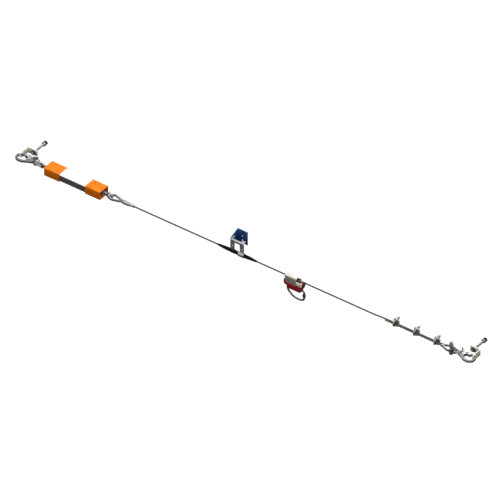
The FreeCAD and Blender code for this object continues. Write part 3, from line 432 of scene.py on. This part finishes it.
print("wire rope")
rope = {
    "radius": 0.004, "strandRadius": 0.00136, "strands": 6, "lay": 0.052, "step": 0.0026, "sides": 7,
    "length": 2.54,
}
ropeRoute = (  # X and Y in millimetres, from the tail, round both thimbles, to the dead end
    (-646.0, 4.3), (-666.0, 4.3), (-685.1, 10.1), (-709.9, 17.7), (-725.7, 22.5), (-740.5, 15.3),
    (-746.6, 0.0), (-740.5, -15.3), (-725.7, -22.5), (-709.9, -17.7), (-685.1, -10.1), (-666.0, -4.3),
    (-650.0, -4.3), (-620.0, 0.0), (-588.0, 0.0), (742.0, 0.0), (798.0, 0.0), (854.0, 4.3),
    (910.0, 4.3), (1140.0, 4.3), (1183.3, 4.3), (1216.0, 16.7), (1231.9, 22.7), (1247.5, 15.8),
    (1254.0, 0.0), (1247.5, -15.8), (1231.9, -22.7), (1216.0, -16.7), (1183.3, -4.3), (1140.0, -4.3),
    (861.0, -4.3),
)
curve = bpy.data.curves.new("ropeRoute", "CURVE")
curve.dimensions = "3D"
spline = curve.splines.new("NURBS")
spline.points.add(len(ropeRoute) - 1)
for point, (x, y) in zip(spline.points, ropeRoute):
    point.co = (*at(x, y, 0), 1)
spline.order_u = 3
spline.use_endpoint_u = True
spline.resolution_u = 12
routeObject = bpy.data.objects.new("ropeRoute", curve)
bpy.context.collection.objects.link(routeObject)
routeMesh = bpy.data.meshes.new_from_object(routeObject)
routePoints = [v.co.copy() for v in routeMesh.vertices]
bpy.data.objects.remove(routeObject)


def evenly(points, step):
    # the same line, with a point every step
    lengths = [0.0]
    for a, b in zip(points, points[1:]):
        lengths.append(lengths[-1] + (b - a).length)
    count = int(lengths[-1] / step)
    even, k = [], 0
    for n in range(count + 1):
        goal = lengths[-1] * n / count
        while k < len(points) - 2 and lengths[k + 1] < goal:
            k += 1
        share = (goal - lengths[k]) / max(lengths[k + 1] - lengths[k], 1e-9)
        even.append(points[k].lerp(points[k + 1], share))
    return even, lengths[-1]


def strandSkin(path, offsets, radius, sides):
    # rings of a round strand that follow the path with the given offset at each point
    corners, faces = [], []
    centres = []
    for n, point in enumerate(path):
        ahead = path[min(n + 1, len(path) - 1)] - path[max(n - 1, 0)]
        side = Vector((0, 0, 1)).cross(ahead).normalized()
        centres.append(point + side * offsets[n][0] + Vector((0, 0, 1)) * offsets[n][1])
    for n, centre in enumerate(centres):
        ahead = (centres[min(n + 1, len(path) - 1)] - centres[max(n - 1, 0)]).normalized()
        side = Vector((0, 0, 1)).cross(ahead).normalized()
        over = ahead.cross(side)
        for k in range(sides):
            angle = 2 * math.pi * k / sides
            corners.append(centre + (side * math.cos(angle) + over * math.sin(angle)) * radius)
    for n in range(len(path) - 1):
        for k in range(sides):
            a, b = n * sides + k, n * sides + (k + 1) % sides
            faces.append((a, b, b + sides, a + sides))
    faces.append(tuple(reversed(range(sides))))
    faces.append(tuple(range((len(path) - 1) * sides, len(path) * sides)))
    return corners, faces


ropePath, ropeLength = evenly(routePoints, rope["step"])
print("rope length %.4f" % ropeLength)
corners, faces = [], []
twist = rope["radius"] - rope["strandRadius"]
along = ropeLength / (len(ropePath) - 1)
for strand in range(rope["strands"]):
    offsets = []
    for n in range(len(ropePath)):
        angle = 2 * math.pi * (strand / rope["strands"] + n * along / rope["lay"])
        offsets.append((twist * math.cos(angle), twist * math.sin(angle)))
    more, moreFaces = strandSkin(ropePath, offsets, rope["strandRadius"], rope["sides"])
    faces += [tuple(index + len(corners) for index in face) for face in moreFaces]
    corners += more
core, coreFaces = strandSkin(ropePath, [(0, 0)] * len(ropePath), rope["strandRadius"] * 1.1, 5)
faces += [tuple(index + len(corners) for index in face) for face in coreFaces]
corners += core
ropeMesh = bpy.data.meshes.new("wireRopeStrands")
ropeMesh.from_pydata(corners, [], faces)
ropeMesh.update()
ropePiece = bpy.data.objects.new("wireRopeStrands", ropeMesh)
bpy.context.collection.objects.link(ropePiece)
tidied(ropePiece)
finished(ropePiece, "line", "rope", ["wire_rope"], 60)


# threaded rods

print("threaded rods")
threadedRod = {
    "radius": 0.00595, "root": 0.00515, "pitch": 0.00175, "front": 43.0, "back": 158.9, "chamfer": 0.0008,
}
for side, x in (("left", -1237.0), ("right", 1328.0)):
    clearSelection()
    bpy.ops.mesh.primitive_circle_add(vertices=4, radius=1, rotation=(math.pi / 2, 0, 0))
    piece = bpy.context.object
    piece.name = side + "ThreadedRod"
    bpy.ops.object.transform_apply(rotation=True)
    chosen(piece, lambda place: place.x < -0.5, "vertices")
    bpy.ops.mesh.delete(type="VERT")
    bpy.ops.mesh.select_all(action="SELECT")
    depth = threadedRod["radius"] - threadedRod["root"]
    bpy.ops.transform.resize(value=(depth, 1, threadedRod["pitch"] / 2), center_override=(0, 0, 0))
    bpy.ops.transform.translate(value=(threadedRod["root"], 0, 0))
    bpy.ops.object.mode_set(mode="OBJECT")
    length = (threadedRod["back"] - threadedRod["front"]) / 1000
    modified(piece, "SCREW", axis="Z", angle=2 * math.pi, screw_offset=threadedRod["pitch"],
             iterations=int(length / threadedRod["pitch"]) + 3, steps=24, render_steps=24)
    tidied(piece)
    bpy.ops.object.mode_set(mode="EDIT")
    for height, outward in ((2 * threadedRod["pitch"], -1), (2 * threadedRod["pitch"] + length, 1)):
        bpy.ops.mesh.select_all(action="SELECT")
        bpy.ops.mesh.bisect(plane_co=(0, 0, height), plane_no=(0, 0, outward), use_fill=True,
                            clear_outer=True)
    bpy.ops.object.mode_set(mode="OBJECT")
    for vertex in piece.data.vertices:  # the ends are chamfered below the thread
        near = min(vertex.co.z - 2 * threadedRod["pitch"], 2 * threadedRod["pitch"] + length - vertex.co.z)
        most = threadedRod["root"] - threadedRod["chamfer"] + max(near, 0)
        across2 = math.hypot(vertex.co.x, vertex.co.y)
        if across2 > most:
            vertex.co.x *= most / across2
            vertex.co.y *= most / across2
    tidied(piece)
    piece.data.transform(Matrix.Translation((0, 0, -2 * threadedRod["pitch"])))
    laidAlong(piece, (0, 1, 0), at(x, threadedRod["front"], 0))
    finished(piece, side + "_anchor", "rod", [side + "_anchor_rod"], 25)


# sleeve on the rope

print("sleeve")
ropeSleeve = {"half": 113.0, "bore": 4.15, "end": 5.1, "full": 9.15, "taper": 50.0}
half, taper = ropeSleeve["half"], ropeSleeve["taper"]
swell = (ropeSleeve["full"] - ropeSleeve["end"]) / taper
profile = [
    (-half, ropeSleeve["bore"]), (-half, ropeSleeve["end"] - 0.5), (-half + 0.6, ropeSleeve["end"]),
    (-half + 3, ropeSleeve["end"] + 2.9 * swell), (-half + 3.4, ropeSleeve["end"] + 2 * swell),
    (-half + 4.4, ropeSleeve["end"] + 3 * swell), (-half + 4.8, ropeSleeve["end"] + 4.7 * swell),
    (-half + taper * 0.5, ropeSleeve["end"] + taper * 0.5 * swell),
    (-half + taper - 1.5, ropeSleeve["full"] - 0.15),
    (-half + taper + 1.5, ropeSleeve["full"]), (-42.0, ropeSleeve["full"]),
]
profile += [(-height, radius) for height, radius in reversed(profile)] + [profile[0]]
sleevePiece = turned("ropeSleeve", [(h / 1000, r / 1000) for h, r in profile], 40)
laidAlong(sleevePiece, (1, 0, 0), at(0, 0, 0))
finished(sleevePiece, "line", "sleeve", ["sleeve"], 50)


# absorber

print("absorber")
absorber = {
    "start": -1109.0, "length": 328.0, "cap": 87.0, "halfY": 34.0, "halfZ": 23.5, "round": 4.0,
    "wall": 3.5, "recess": 12.0, "sleeveGap": 0.4, "label": 0.25, "labelDrop": 5.0,
    "labelBack": 27.0,
}


def roundedBox(name, low, high, radius, segments=4):
    # a cube set to its size, with the four edges along X rounded
    clearSelection()
    bpy.ops.mesh.primitive_cube_add(size=1, location=(low + high) / 2)
    piece = bpy.context.object
    piece.name = name
    piece.scale = high - low
    bpy.ops.object.transform_apply(location=True, rotation=True, scale=True)
    chosen(piece, lambda a, b: abs(a.x - b.x) > 0.5 * (high.x - low.x), "edges")
    bpy.ops.mesh.bevel(offset=radius, segments=segments, affect="EDGES")
    bpy.ops.object.mode_set(mode="OBJECT")
    return piece


def absorberCap(name, outer, inner):
    # outer and inner are the cap's ends along X; it is hollow from the inner end
    y, z = absorber["halfY"], absorber["halfZ"]
    low, high = at(min(outer, inner), -y, -z), at(max(outer, inner), y, z)
    piece = roundedBox(name, low, high, absorber["round"] / 1000)
    away = 1 if outer > inner else -1
    for direction, depth in ((away, absorber["recess"]), (-away, absorber["cap"] - absorber["recess"] - 6)):
        chosen(piece, lambda centre, normal: normal.x * direction > 0.9, "faces")
        bpy.ops.mesh.inset(thickness=0.0007, depth=0.0)
        bpy.ops.mesh.inset(thickness=(absorber["wall"] - 0.7) / 1000, depth=0.0)
        bpy.ops.mesh.extrude_region_move(TRANSFORM_OT_translate={"value": (-direction * depth / 1000, 0, 0)})
        bpy.ops.object.mode_set(mode="OBJECT")
    modified(piece, "BEVEL", width=0.0007, segments=2, limit_method="ANGLE", angle_limit=math.radians(50))
    tidied(piece)
    finished(piece, "line", "cap", ["absorber_cap_" + name[3:].lower()], 40)
    piece.data.materials.append(finishes["capFloor"])
    middle = at(outer, 0, 0)
    for face in piece.data.polygons:
        deep = (middle.x - face.center.x) * away * 1000
        inside = abs(face.center.y - middle.y) < 0.0285 and abs(face.center.z - middle.z) < 0.018
        if inside and 0.8 * absorber["recess"] < deep < 1.5 * absorber["recess"]:
            face.material_index = 1
    return piece


leftEnd, rightEnd = absorber["start"], absorber["start"] + absorber["length"]
absorberCap("capLeft", leftEnd, leftEnd + absorber["cap"])
absorberCap("capRight", rightEnd, rightEnd - absorber["cap"])

inset = absorber["wall"] + absorber["sleeveGap"]
bandStart, bandEnd = leftEnd + absorber["cap"] - 40, rightEnd - absorber["cap"] + 40
band = roundedBox("absorberBand",
                  at(bandStart, -absorber["halfY"] + inset, -absorber["halfZ"] + inset),
                  at(bandEnd, absorber["halfY"] - inset, absorber["halfZ"] - inset), 0.003, 5)
for direction in (1, -1):
    chosen(band, lambda centre, normal: normal.x * direction > 0.9, "faces")
    bpy.ops.mesh.inset(thickness=0.003, depth=0.0)
    bpy.ops.mesh.extrude_region_move(TRANSFORM_OT_translate={"value": (-direction * 0.03, 0, 0)})
    bpy.ops.object.mode_set(mode="OBJECT")
tidied(band)
finished(band, "line", "bandDark", ["absorber_sleeve"], 40)

labelFront = inset - absorber["halfY"]
clearSelection()
bpy.ops.mesh.primitive_plane_add(size=1, location=at(
    (leftEnd + rightEnd) / 2, (labelFront + absorber["labelBack"]) / 2, absorber["halfZ"] - inset))
label = bpy.context.object
label.name = "absorberLabel"
label.scale = ((absorber["length"] - 2 * absorber["cap"] - 1.0) / 1000,
               (absorber["labelBack"] - labelFront) / 1000, 1)
bpy.ops.object.transform_apply(location=True, rotation=True, scale=True)
front = at(0, labelFront, 0).y
chosen(label, lambda a, b: max(a.y, b.y) < front + 1e-5, "edges")
bpy.ops.mesh.extrude_edges_move(TRANSFORM_OT_translate={"value": (0, 0, -absorber["labelDrop"] / 1000)})
bpy.ops.object.mode_set(mode="OBJECT")
top = at(0, 0, absorber["halfZ"] - inset).z
chosen(label, lambda a, b: max(a.y, b.y) < front + 1e-5 and min(a.z, b.z) > top - 1e-5, "edges")
bpy.ops.mesh.bevel(offset=0.003, segments=5, affect="EDGES")
bpy.ops.mesh.select_all(action="SELECT")
bpy.ops.mesh.normals_make_consistent(inside=False)
bpy.ops.object.mode_set(mode="OBJECT")
if sum(face.normal.z for face in label.data.polygons) < 0:
    label.data.flip_normals()
modified(label, "SOLIDIFY", thickness=absorber["label"] / 1000, offset=1.0)
finished(label, "line", "band", (), 40)


# rounded copies of CAD pieces

print("softened pieces")


def softened(node, width, finish, angle=35):
    # the CAD piece with its triangles joined into flats and its sharp edges rounded
    clearSelection()
    source = frame["nodes"][node]
    words = node.split("_")
    piece = source.copy()
    piece.data = source.data.copy()
    piece.name = words[0] + "".join(word.title() for word in words[1:])
    bpy.context.collection.objects.link(piece)
    piece.parent = None
    piece.hide_render = False
    piece.hide_viewport = False
    piece.data.transform(source.matrix_world)
    piece.matrix_world = Matrix.Identity(4)
    for key in list(piece.keys()):
        del piece[key]
    tidied(piece)
    bpy.ops.object.mode_set(mode="EDIT")
    bpy.ops.mesh.select_all(action="SELECT")
    bpy.ops.mesh.dissolve_limited(angle_limit=math.radians(1.0))
    bpy.ops.object.mode_set(mode="OBJECT")
    modified(piece, "BEVEL", width=width / 1000, segments=2, limit_method="ANGLE",
             angle_limit=math.radians(angle), use_clamp_overlap=True)
    return finished(piece, source["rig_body"], finish, [node], 40)


edgeWidth = {  # node: rounding of its edges in millimetres, finish, slot
    "bracket_plate": (0.6, "bracket", "bracket"),
    "cable_guide": (0.4, "guide", "guide"),
    "traveller_body": (1.4, "body", "traveller_body"),
    "traveller_latch": (0.6, "latch", "traveller_latch"),
    "left_anchor_plate": (0.7, "plate", "anchor_plate"),
    "right_anchor_plate": (0.7, "plate", "anchor_plate"),
    "clip_saddle_1": (0.8, "clip", "clip"),
    "clip_saddle_2": (0.8, "clip", "clip"),
    "clip_saddle_3": (0.8, "clip", "clip"),
    "left_shackle_bow": (0.5, "shackle", "shackle"),
    "right_shackle_bow": (0.5, "shackle", "shackle"),
    "left_shackle_nut": (0.4, "shackleNut", "shackle_nut"),
    "right_shackle_nut": (0.4, "shackleNut", "shackle_nut"),
    "absorber_eye_left": (0.6, "absorberEye", "absorber_eye"),
    "absorber_eye_right": (0.6, "absorberEye", "absorber_eye"),
    "left_hook_gate": (0.4, "hookGate", "hook_gate"),
    "right_hook_gate": (0.4, "hookGate", "hook_gate"),
    "left_hook_lock_lever": (0.4, "hookLever", "hook_lever"),
    "right_hook_lock_lever": (0.4, "hookLever", "hook_lever"),
}
for node, (width, finish, slot) in edgeWidth.items():
    softened(node, width, finish)


# traveller's connector

print("connector")
traveller = {
    "x": 336.0, "shellStart": -52.0, "shellStep": 14.0, "shellEnd": 29.0, "shellR": 12.0, "shellT": 2.5,
    "shellBottom": -31.0, "stepY": 3.0,
}
connectorRing = {
    "radius": 5.0, "gateTop": -67.0, "gateBottom": -85.0, "slotHalf": 2.5, "slotEnd": -94.8,
    "corners": ((53.0, -53.5, 9.0), (-46.0, -53.5, 9.0), (-41.0, -82.0, 34.0), (-6.0, -111.0, 56.0),
                (36.0, -111.0, 34.0), (53.0, -99.0, 14.0)),
}


def roundedRoute(start, corners, end, turn=0.12):
    # straights from start to end, joined by arcs of each corner's radius
    route = [Vector(start)]
    spots = [Vector(start)] + [Vector(c[:2]) for c in corners] + [Vector(end)]
    for n, corner in enumerate(corners, 1):
        before, after = (spots[n - 1] - spots[n]).normalized(), (spots[n + 1] - spots[n]).normalized()
        half = before.angle(after) / 2
        centre = spots[n] + (before + after).normalized() * (corner[2] / math.sin(half))
        first = spots[n] + before * (corner[2] / math.tan(half))
        sweep = math.pi - 2 * half
        sign = 1 if before.x * after.y - before.y * after.x < 0 else -1
        count = max(3, int(sweep / turn))
        for k in range(count + 1):
            route.append(centre + Matrix.Rotation(sign * sweep * k / count, 2) @ (first - centre))
    return route + [Vector(end)]


def bar(name, route, radius, rounds=5):
    # a round bar bent along the route
    clearSelection()
    line2 = bpy.data.curves.new(name, "CURVE")
    line2.dimensions = "3D"
    run = line2.splines.new("POLY")
    run.points.add(len(route) - 1)
    for point, place in zip(run.points, route):
        point.co = (*place, 1)
    line2.bevel_depth = radius
    line2.bevel_resolution = rounds
    line2.use_fill_caps = True
    piece = bpy.data.objects.new(name, line2)
    bpy.context.collection.objects.link(piece)
    piece.select_set(True)
    bpy.context.view_layer.objects.active = piece
    bpy.ops.object.convert(target="MESH")
    tidied(piece)
    return piece


tx = traveller["x"]
route = roundedRoute(
    (53.0, connectorRing["gateTop"]), connectorRing["corners"], (53.0, connectorRing["gateBottom"]))
ringPiece = bar("connectorRing", [at(tx + p.x, 0, p.y) for p in route], connectorRing["radius"] / 1000, 7)
clearSelection()
bpy.ops.mesh.primitive_cube_add(size=1, location=at(tx + 53, 0, connectorRing["slotEnd"] / 2 - 40))
slotBox = bpy.context.object
slotBox.scale = (0.02, 2 * connectorRing["slotHalf"] / 1000, (-80 - connectorRing["slotEnd"]) / 1000)
bpy.ops.object.transform_apply(location=True, rotation=True, scale=True)
modified(ringPiece, "BOOLEAN", operation="DIFFERENCE", object=slotBox, solver="EXACT")
bpy.data.objects.remove(slotBox)
finished(ringPiece, "connector", "connector", ["connector_ring"], 50)

lockSleeve = {"radius": 8.0, "bore": 5.35, "bottom": -84.6, "length": 14.8, "flutes": 24, "depth": 0.5}
low, high, most = lockSleeve["bottom"], lockSleeve["bottom"] + lockSleeve["length"], lockSleeve["radius"]
stations = [
    (low, lockSleeve["bore"]), (low, most - 1), (low + 0.4, most - 0.3), (low + 1, most), (low + 2.4, most),
    (low + 2.7, most - 0.6), (low + 3.3, most - 0.6), (low + 3.6, most), (high - 3.6, most),
    (high - 3.3, most - 0.6), (high - 2.7, most - 0.6), (high - 2.4, most), (high - 1, most),
    (high - 0.4, most - 0.3), (high, most - 1), (high, lockSleeve["bore"]), (low, lockSleeve["bore"]),
]
lockPiece = turned("lockSleeve", [(h / 1000, r / 1000) for h, r in stations], 2 * lockSleeve["flutes"])
for vertex in lockPiece.data.vertices:
    column = round(math.atan2(vertex.co.y, vertex.co.x) / math.pi * lockSleeve["flutes"])
    inGrip = low + 3.4 < vertex.co.z * 1000 < high - 3.4
    if column % 2 and inGrip and math.hypot(vertex.co.x, vertex.co.y) > 0.0075:
        vertex.co.x *= 1 - lockSleeve["depth"] / most
        vertex.co.y *= 1 - lockSleeve["depth"] / most
laidAlong(lockPiece, (0, 0, 1), at(tx + 53, 0, 0))
finished(lockPiece, "lock_sleeve", "lockSleeve", ["connector_lock_sleeve"], 30)


# traveller's shell

print("traveller shell")
clearSelection()
bpy.ops.mesh.primitive_circle_add(
    vertices=64, radius=traveller["shellR"] / 1000, rotation=(math.pi / 2, 0, math.pi / 2))
shell = bpy.context.object
shell.name = "travellerShell"
bpy.ops.object.transform_apply(rotation=True)
chosen(shell, lambda place: place.z < -0.00001, "vertices")
bpy.ops.mesh.delete(type="VERT")
bpy.ops.object.mode_set(mode="OBJECT")
chosen(shell, lambda place: place.z < 0.00001, "vertices")
bpy.ops.mesh.extrude_vertices_move(TRANSFORM_OT_translate={"value": (0, 0, traveller["shellBottom"] / 1000)})
bpy.ops.mesh.select_all(action="SELECT")
toStep = (traveller["shellStep"] - traveller["shellStart"]) / 1000
pastStep = (traveller["shellEnd"] - traveller["shellStep"]) / 1000
for reach in (toStep, pastStep):
    bpy.ops.mesh.extrude_edges_move(TRANSFORM_OT_translate={"value": (reach, 0, 0)})
bpy.ops.object.mode_set(mode="OBJECT")
chosen(shell, lambda centre, normal: centre.x > toStep and centre.y < traveller["stepY"] / 1000)
bpy.ops.mesh.delete(type="FACE")
bpy.ops.object.mode_set(mode="OBJECT")
tidied(shell)
modified(shell, "SOLIDIFY", thickness=traveller["shellT"] / 1000, offset=-1.0)
modified(shell, "BEVEL", width=0.0007, segments=3, limit_method="ANGLE", angle_limit=math.radians(40))
laidAlong(shell, (0, 0, 1), at(tx + traveller["shellStart"], 0, 0))
finished(shell, "traveller", "shell", ["traveller_shell"], 40)


rivetHead = {
    "radius": 3.8, "height": 0.9, "z": -10.5,
    "spots": ((-34.0, -12.0, -1), (-34.0, 12.0, 1), (38.0, 13.0, 1)),  # X, Y and the way out along Y
}
heads = []
for x, y, outward in rivetHead["spots"]:
    radius, height = rivetHead["radius"], rivetHead["height"]
    stations = [(0, radius), (0.4 * height, radius), (0.8 * height, 0.75 * radius), (height, 0.35 * radius)]
    head = turned("travellerRivet", [(h / 1000, r / 1000) for h, r in stations], 24)
    laidAlong(head, (0, outward, 0), at(tx + x, y, rivetHead["z"]))
    heads.append(head)
clearSelection()
for head in heads:
    head.select_set(True)
bpy.context.view_layer.objects.active = heads[0]
bpy.ops.object.join()
heads[0].name = "travellerRivets"
finished(heads[0], "traveller", "axle", (), 50)


# ferrule, nuts and washers

print("ferrule and nuts")
ferrule = {
    "start": -670.0,
    "stations": ((0, 5.0), (0, 9.6), (0.5, 10.5), (1.3, 11.0), (29.5, 11.0), (31.5, 10.7), (56.5, 6.1),
                 (57.2, 7.0), (58.0, 7.2), (63.2, 7.2), (64.0, 6.6), (64.0, 4.1)),
}
stations = [*ferrule["stations"], ferrule["stations"][0]]
ferrulePiece = turned("ferrule", [(h / 1000, r / 1000) for h, r in stations], 48)
laidAlong(ferrulePiece, (1, 0, 0), at(ferrule["start"], 0, 0))
finished(ferrulePiece, "line", "thimble", ["ferrule"], 40)


# rope clips

print("rope clips")
ropeClip = {"x": (914.0, 1032.0, 1150.0), "bar": 4.0, "legZ": 13.0, "tipY": 38.0, "bowY": 0.7, "seatY": 22.0,
            "nutFlats": 13.0, "nutHeight": 8.0}


def hexNut(name, flats, height, base, axis):
    # a six-sided nut with both ends chamfered and a countersink round its bolt
    clearSelection()
    rise = 0.05 * flats
    bpy.ops.mesh.primitive_cylinder_add(vertices=6, radius=flats / math.sqrt(3) / 1000,
                                        depth=(height - 2 * rise) / 1000, location=(0, 0, height / 2000))
    piece = bpy.context.object
    piece.name = name
    bpy.ops.object.transform_apply(location=True, rotation=True)
    for side in (1, -1):
        chosen(piece, lambda centre, normal: normal.z * side > 0.9)
        bpy.ops.mesh.inset(thickness=0.06 * flats / 1000, depth=rise / 1000)
        bpy.ops.mesh.inset(thickness=0.14 * flats / 1000, depth=0.0)
        bpy.ops.mesh.inset(thickness=0.05 * flats / 1000, depth=-0.05 * flats / 1000)
        bpy.ops.object.mode_set(mode="OBJECT")
    modified(piece, "BEVEL", width=0.0003, segments=2, limit_method="ANGLE", angle_limit=math.radians(50))
    laidAlong(piece, axis, base)
    return piece


def together(name, pieces):
    clearSelection()
    for piece in pieces:
        piece.select_set(True)
    bpy.context.view_layer.objects.active = pieces[0]
    bpy.ops.object.join()
    pieces[0].name = name
    tidied(pieces[0])
    return pieces[0]


bows, nuts = [], []
for x in ropeClip["x"]:
    bow = [Vector((x, ropeClip["tipY"], ropeClip["legZ"])), Vector((x, ropeClip["bowY"], ropeClip["legZ"]))]
    for k in range(1, 16):
        angle = math.pi * k / 16
        bow.append(Vector((x, ropeClip["bowY"] - ropeClip["legZ"] * math.sin(angle),
                           ropeClip["legZ"] * math.cos(angle))))
    bow += [Vector((p.x, p.y, -p.z)) for p in (bow[1], bow[0])]
    piece = bar("ropeClipBow", [at(*p) for p in bow], ropeClip["bar"] / 1000)
    modified(piece, "BEVEL", width=0.0006, segments=1, limit_method="ANGLE", angle_limit=math.radians(60))
    bows.append(piece)
    for z in (ropeClip["legZ"], -ropeClip["legZ"]):
        nuts.append(hexNut("ropeClipNut", ropeClip["nutFlats"], ropeClip["nutHeight"],
                           at(x, ropeClip["seatY"], z), (0, 1, 0)))
finished(together("ropeClipBows", bows), "line", "clip", ["clip_u_bolts"], 40)
finished(together("ropeClipNuts", nuts), "line", "clipNut", ["clip_nuts"], 30)


# anchor nuts and washers

print("anchor nuts")
anchorStack = {"flats": 19.0, "nutHeight": 10.8, "jamHeight": 7.0, "frontY": 47.2, "backY": 138.0,
               "washerRadius": 12.0, "washerBore": 6.2, "washerHeight": 3.0, "washerY": 135.0}
for side, x in (("left", -1237.0), ("right", 1328.0)):
    nuts = []
    jamY = anchorStack["backY"] + anchorStack["nutHeight"]
    for y, height in ((anchorStack["frontY"], anchorStack["nutHeight"]),
                      (anchorStack["backY"], anchorStack["nutHeight"]), (jamY, anchorStack["jamHeight"])):
        nuts.append(hexNut(side + "AnchorNut", anchorStack["flats"], height, at(x, y, 0), (0, 1, 0)))
    finished(together(side + "AnchorNuts", nuts), side + "_anchor", "anchorNut",
             [side + "_anchor_nuts"], 30)
    outer, bore, thick = anchorStack["washerRadius"], anchorStack["washerBore"], anchorStack["washerHeight"]
    stations = [(0, bore), (0, outer - 0.4), (0.4, outer), (thick - 0.5, outer), (thick, outer - 0.5),
                (thick, bore), (0, bore)]
    washer = turned(side + "AnchorWasher", [(h / 1000, r / 1000) for h, r in stations], 40)
    laidAlong(washer, (0, 1, 0), at(x, anchorStack["washerY"], 0))
    finished(washer, side + "_anchor", "washer", [side + "_anchor_washer"], 40)


# camera, light and floor

print("camera, light and floor")
studio = {
    "azimuth": 36.3, "elevation": 37.6, "lens": 1600.0, "width": 2.35,
    "right": 0.0592, "up": 0.0136, "floor": -0.42, "floorSize": 60.0,
}
turn, tilt = math.radians(studio["azimuth"]), math.radians(studio["elevation"])
back = Vector((math.sin(turn) * math.cos(tilt), -math.cos(turn) * math.cos(tilt), math.sin(tilt)))
across = Vector((math.cos(turn), math.sin(turn), 0))
upward = back.cross(across)
bpy.ops.object.camera_add()
camera = bpy.context.object
camera.name = "lineCamera"
camera.data.lens = studio["lens"]
camera.data.sensor_width = 36.0
reach = studio["width"] * studio["lens"] / camera.data.sensor_width
camera.location = line + across * studio["right"] + upward * studio["up"] + back * reach
camera.rotation_mode = "QUATERNION"
camera.rotation_quaternion = (-back).to_track_quat("-Z", "Y")
camera.data.clip_start, camera.data.clip_end = 1.0, 300.0
bpy.context.scene.camera = camera

bpy.ops.mesh.primitive_plane_add(size=studio["floorSize"], location=(0, 0, studio["floor"]))
floor = bpy.context.object
floor.name = "floor"
floor.visible_diffuse = floor.visible_glossy = False  # the paper is lit apart from the line
paper = Finish("paleFloor", Roughness=0.9, Emission_Strength=0.95)
paper.shader.inputs["Emission Color"].default_value = (1, 1, 1, 1)
paper.colour(paper.blend(paper.noise(0.6), (0.08, 0.08, 0.08, 1), (0.1, 0.1, 0.1, 1)))
floor.data.materials.append(paper.material)
floor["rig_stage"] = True

lamps = (
    ("topLamp", (0.3, 1.1, 3.2), 2.6, 115.0),
    ("keyLamp", (-2.6, -0.6, 3.0), 1.8, 45.0),
    ("frontLamp", (1.8, -3.4, 1.4), 2.2, 27.0),
)
for name, where, size, power in lamps:
    bpy.ops.object.light_add(type="AREA", location=where)
    lamp = bpy.context.object
    lamp.name = name
    lamp.data.size, lamp.data.energy = size, power
    lamp.rotation_mode = "QUATERNION"
    lamp.rotation_quaternion = (line - Vector(where)).to_track_quat("-Z", "Y")
world = bpy.data.worlds.new("studioWorld")
world.use_nodes = True
sky = world.node_tree
way = sky.nodes.new("ShaderNodeTexCoord")
split = sky.nodes.new("ShaderNodeSeparateXYZ")
ramp = sky.nodes.new("ShaderNodeValToRGB")
for position, grey in ((0.35, 0.03), (0.5, 0.22), (0.75, 0.75)):
    element = ramp.color_ramp.elements.new(position)
    element.color = (grey, grey, grey, 1)
ramp.color_ramp.elements[0].color = (0.02, 0.02, 0.02, 1)
ramp.color_ramp.elements[-1].color = (1.0, 1.0, 1.0, 1)
halve = sky.nodes.new("ShaderNodeMapRange")
halve.inputs["From Min"].default_value = -1.0
sky.links.new(way.outputs["Generated"], split.inputs[0])
sky.links.new(split.outputs["Z"], halve.inputs["Value"])
sky.links.new(halve.outputs[0], ramp.inputs["Fac"])
sky.links.new(ramp.outputs["Color"], sky.nodes["Background"].inputs["Color"])
sky.nodes["Background"].inputs["Strength"].default_value = 0.8
bpy.context.scene.world = world
bpy.context.scene.view_settings.view_transform = "Standard"

size = {"cad": [list(corner) for corner in cadBox], "visual": [list(corner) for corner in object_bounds()]}
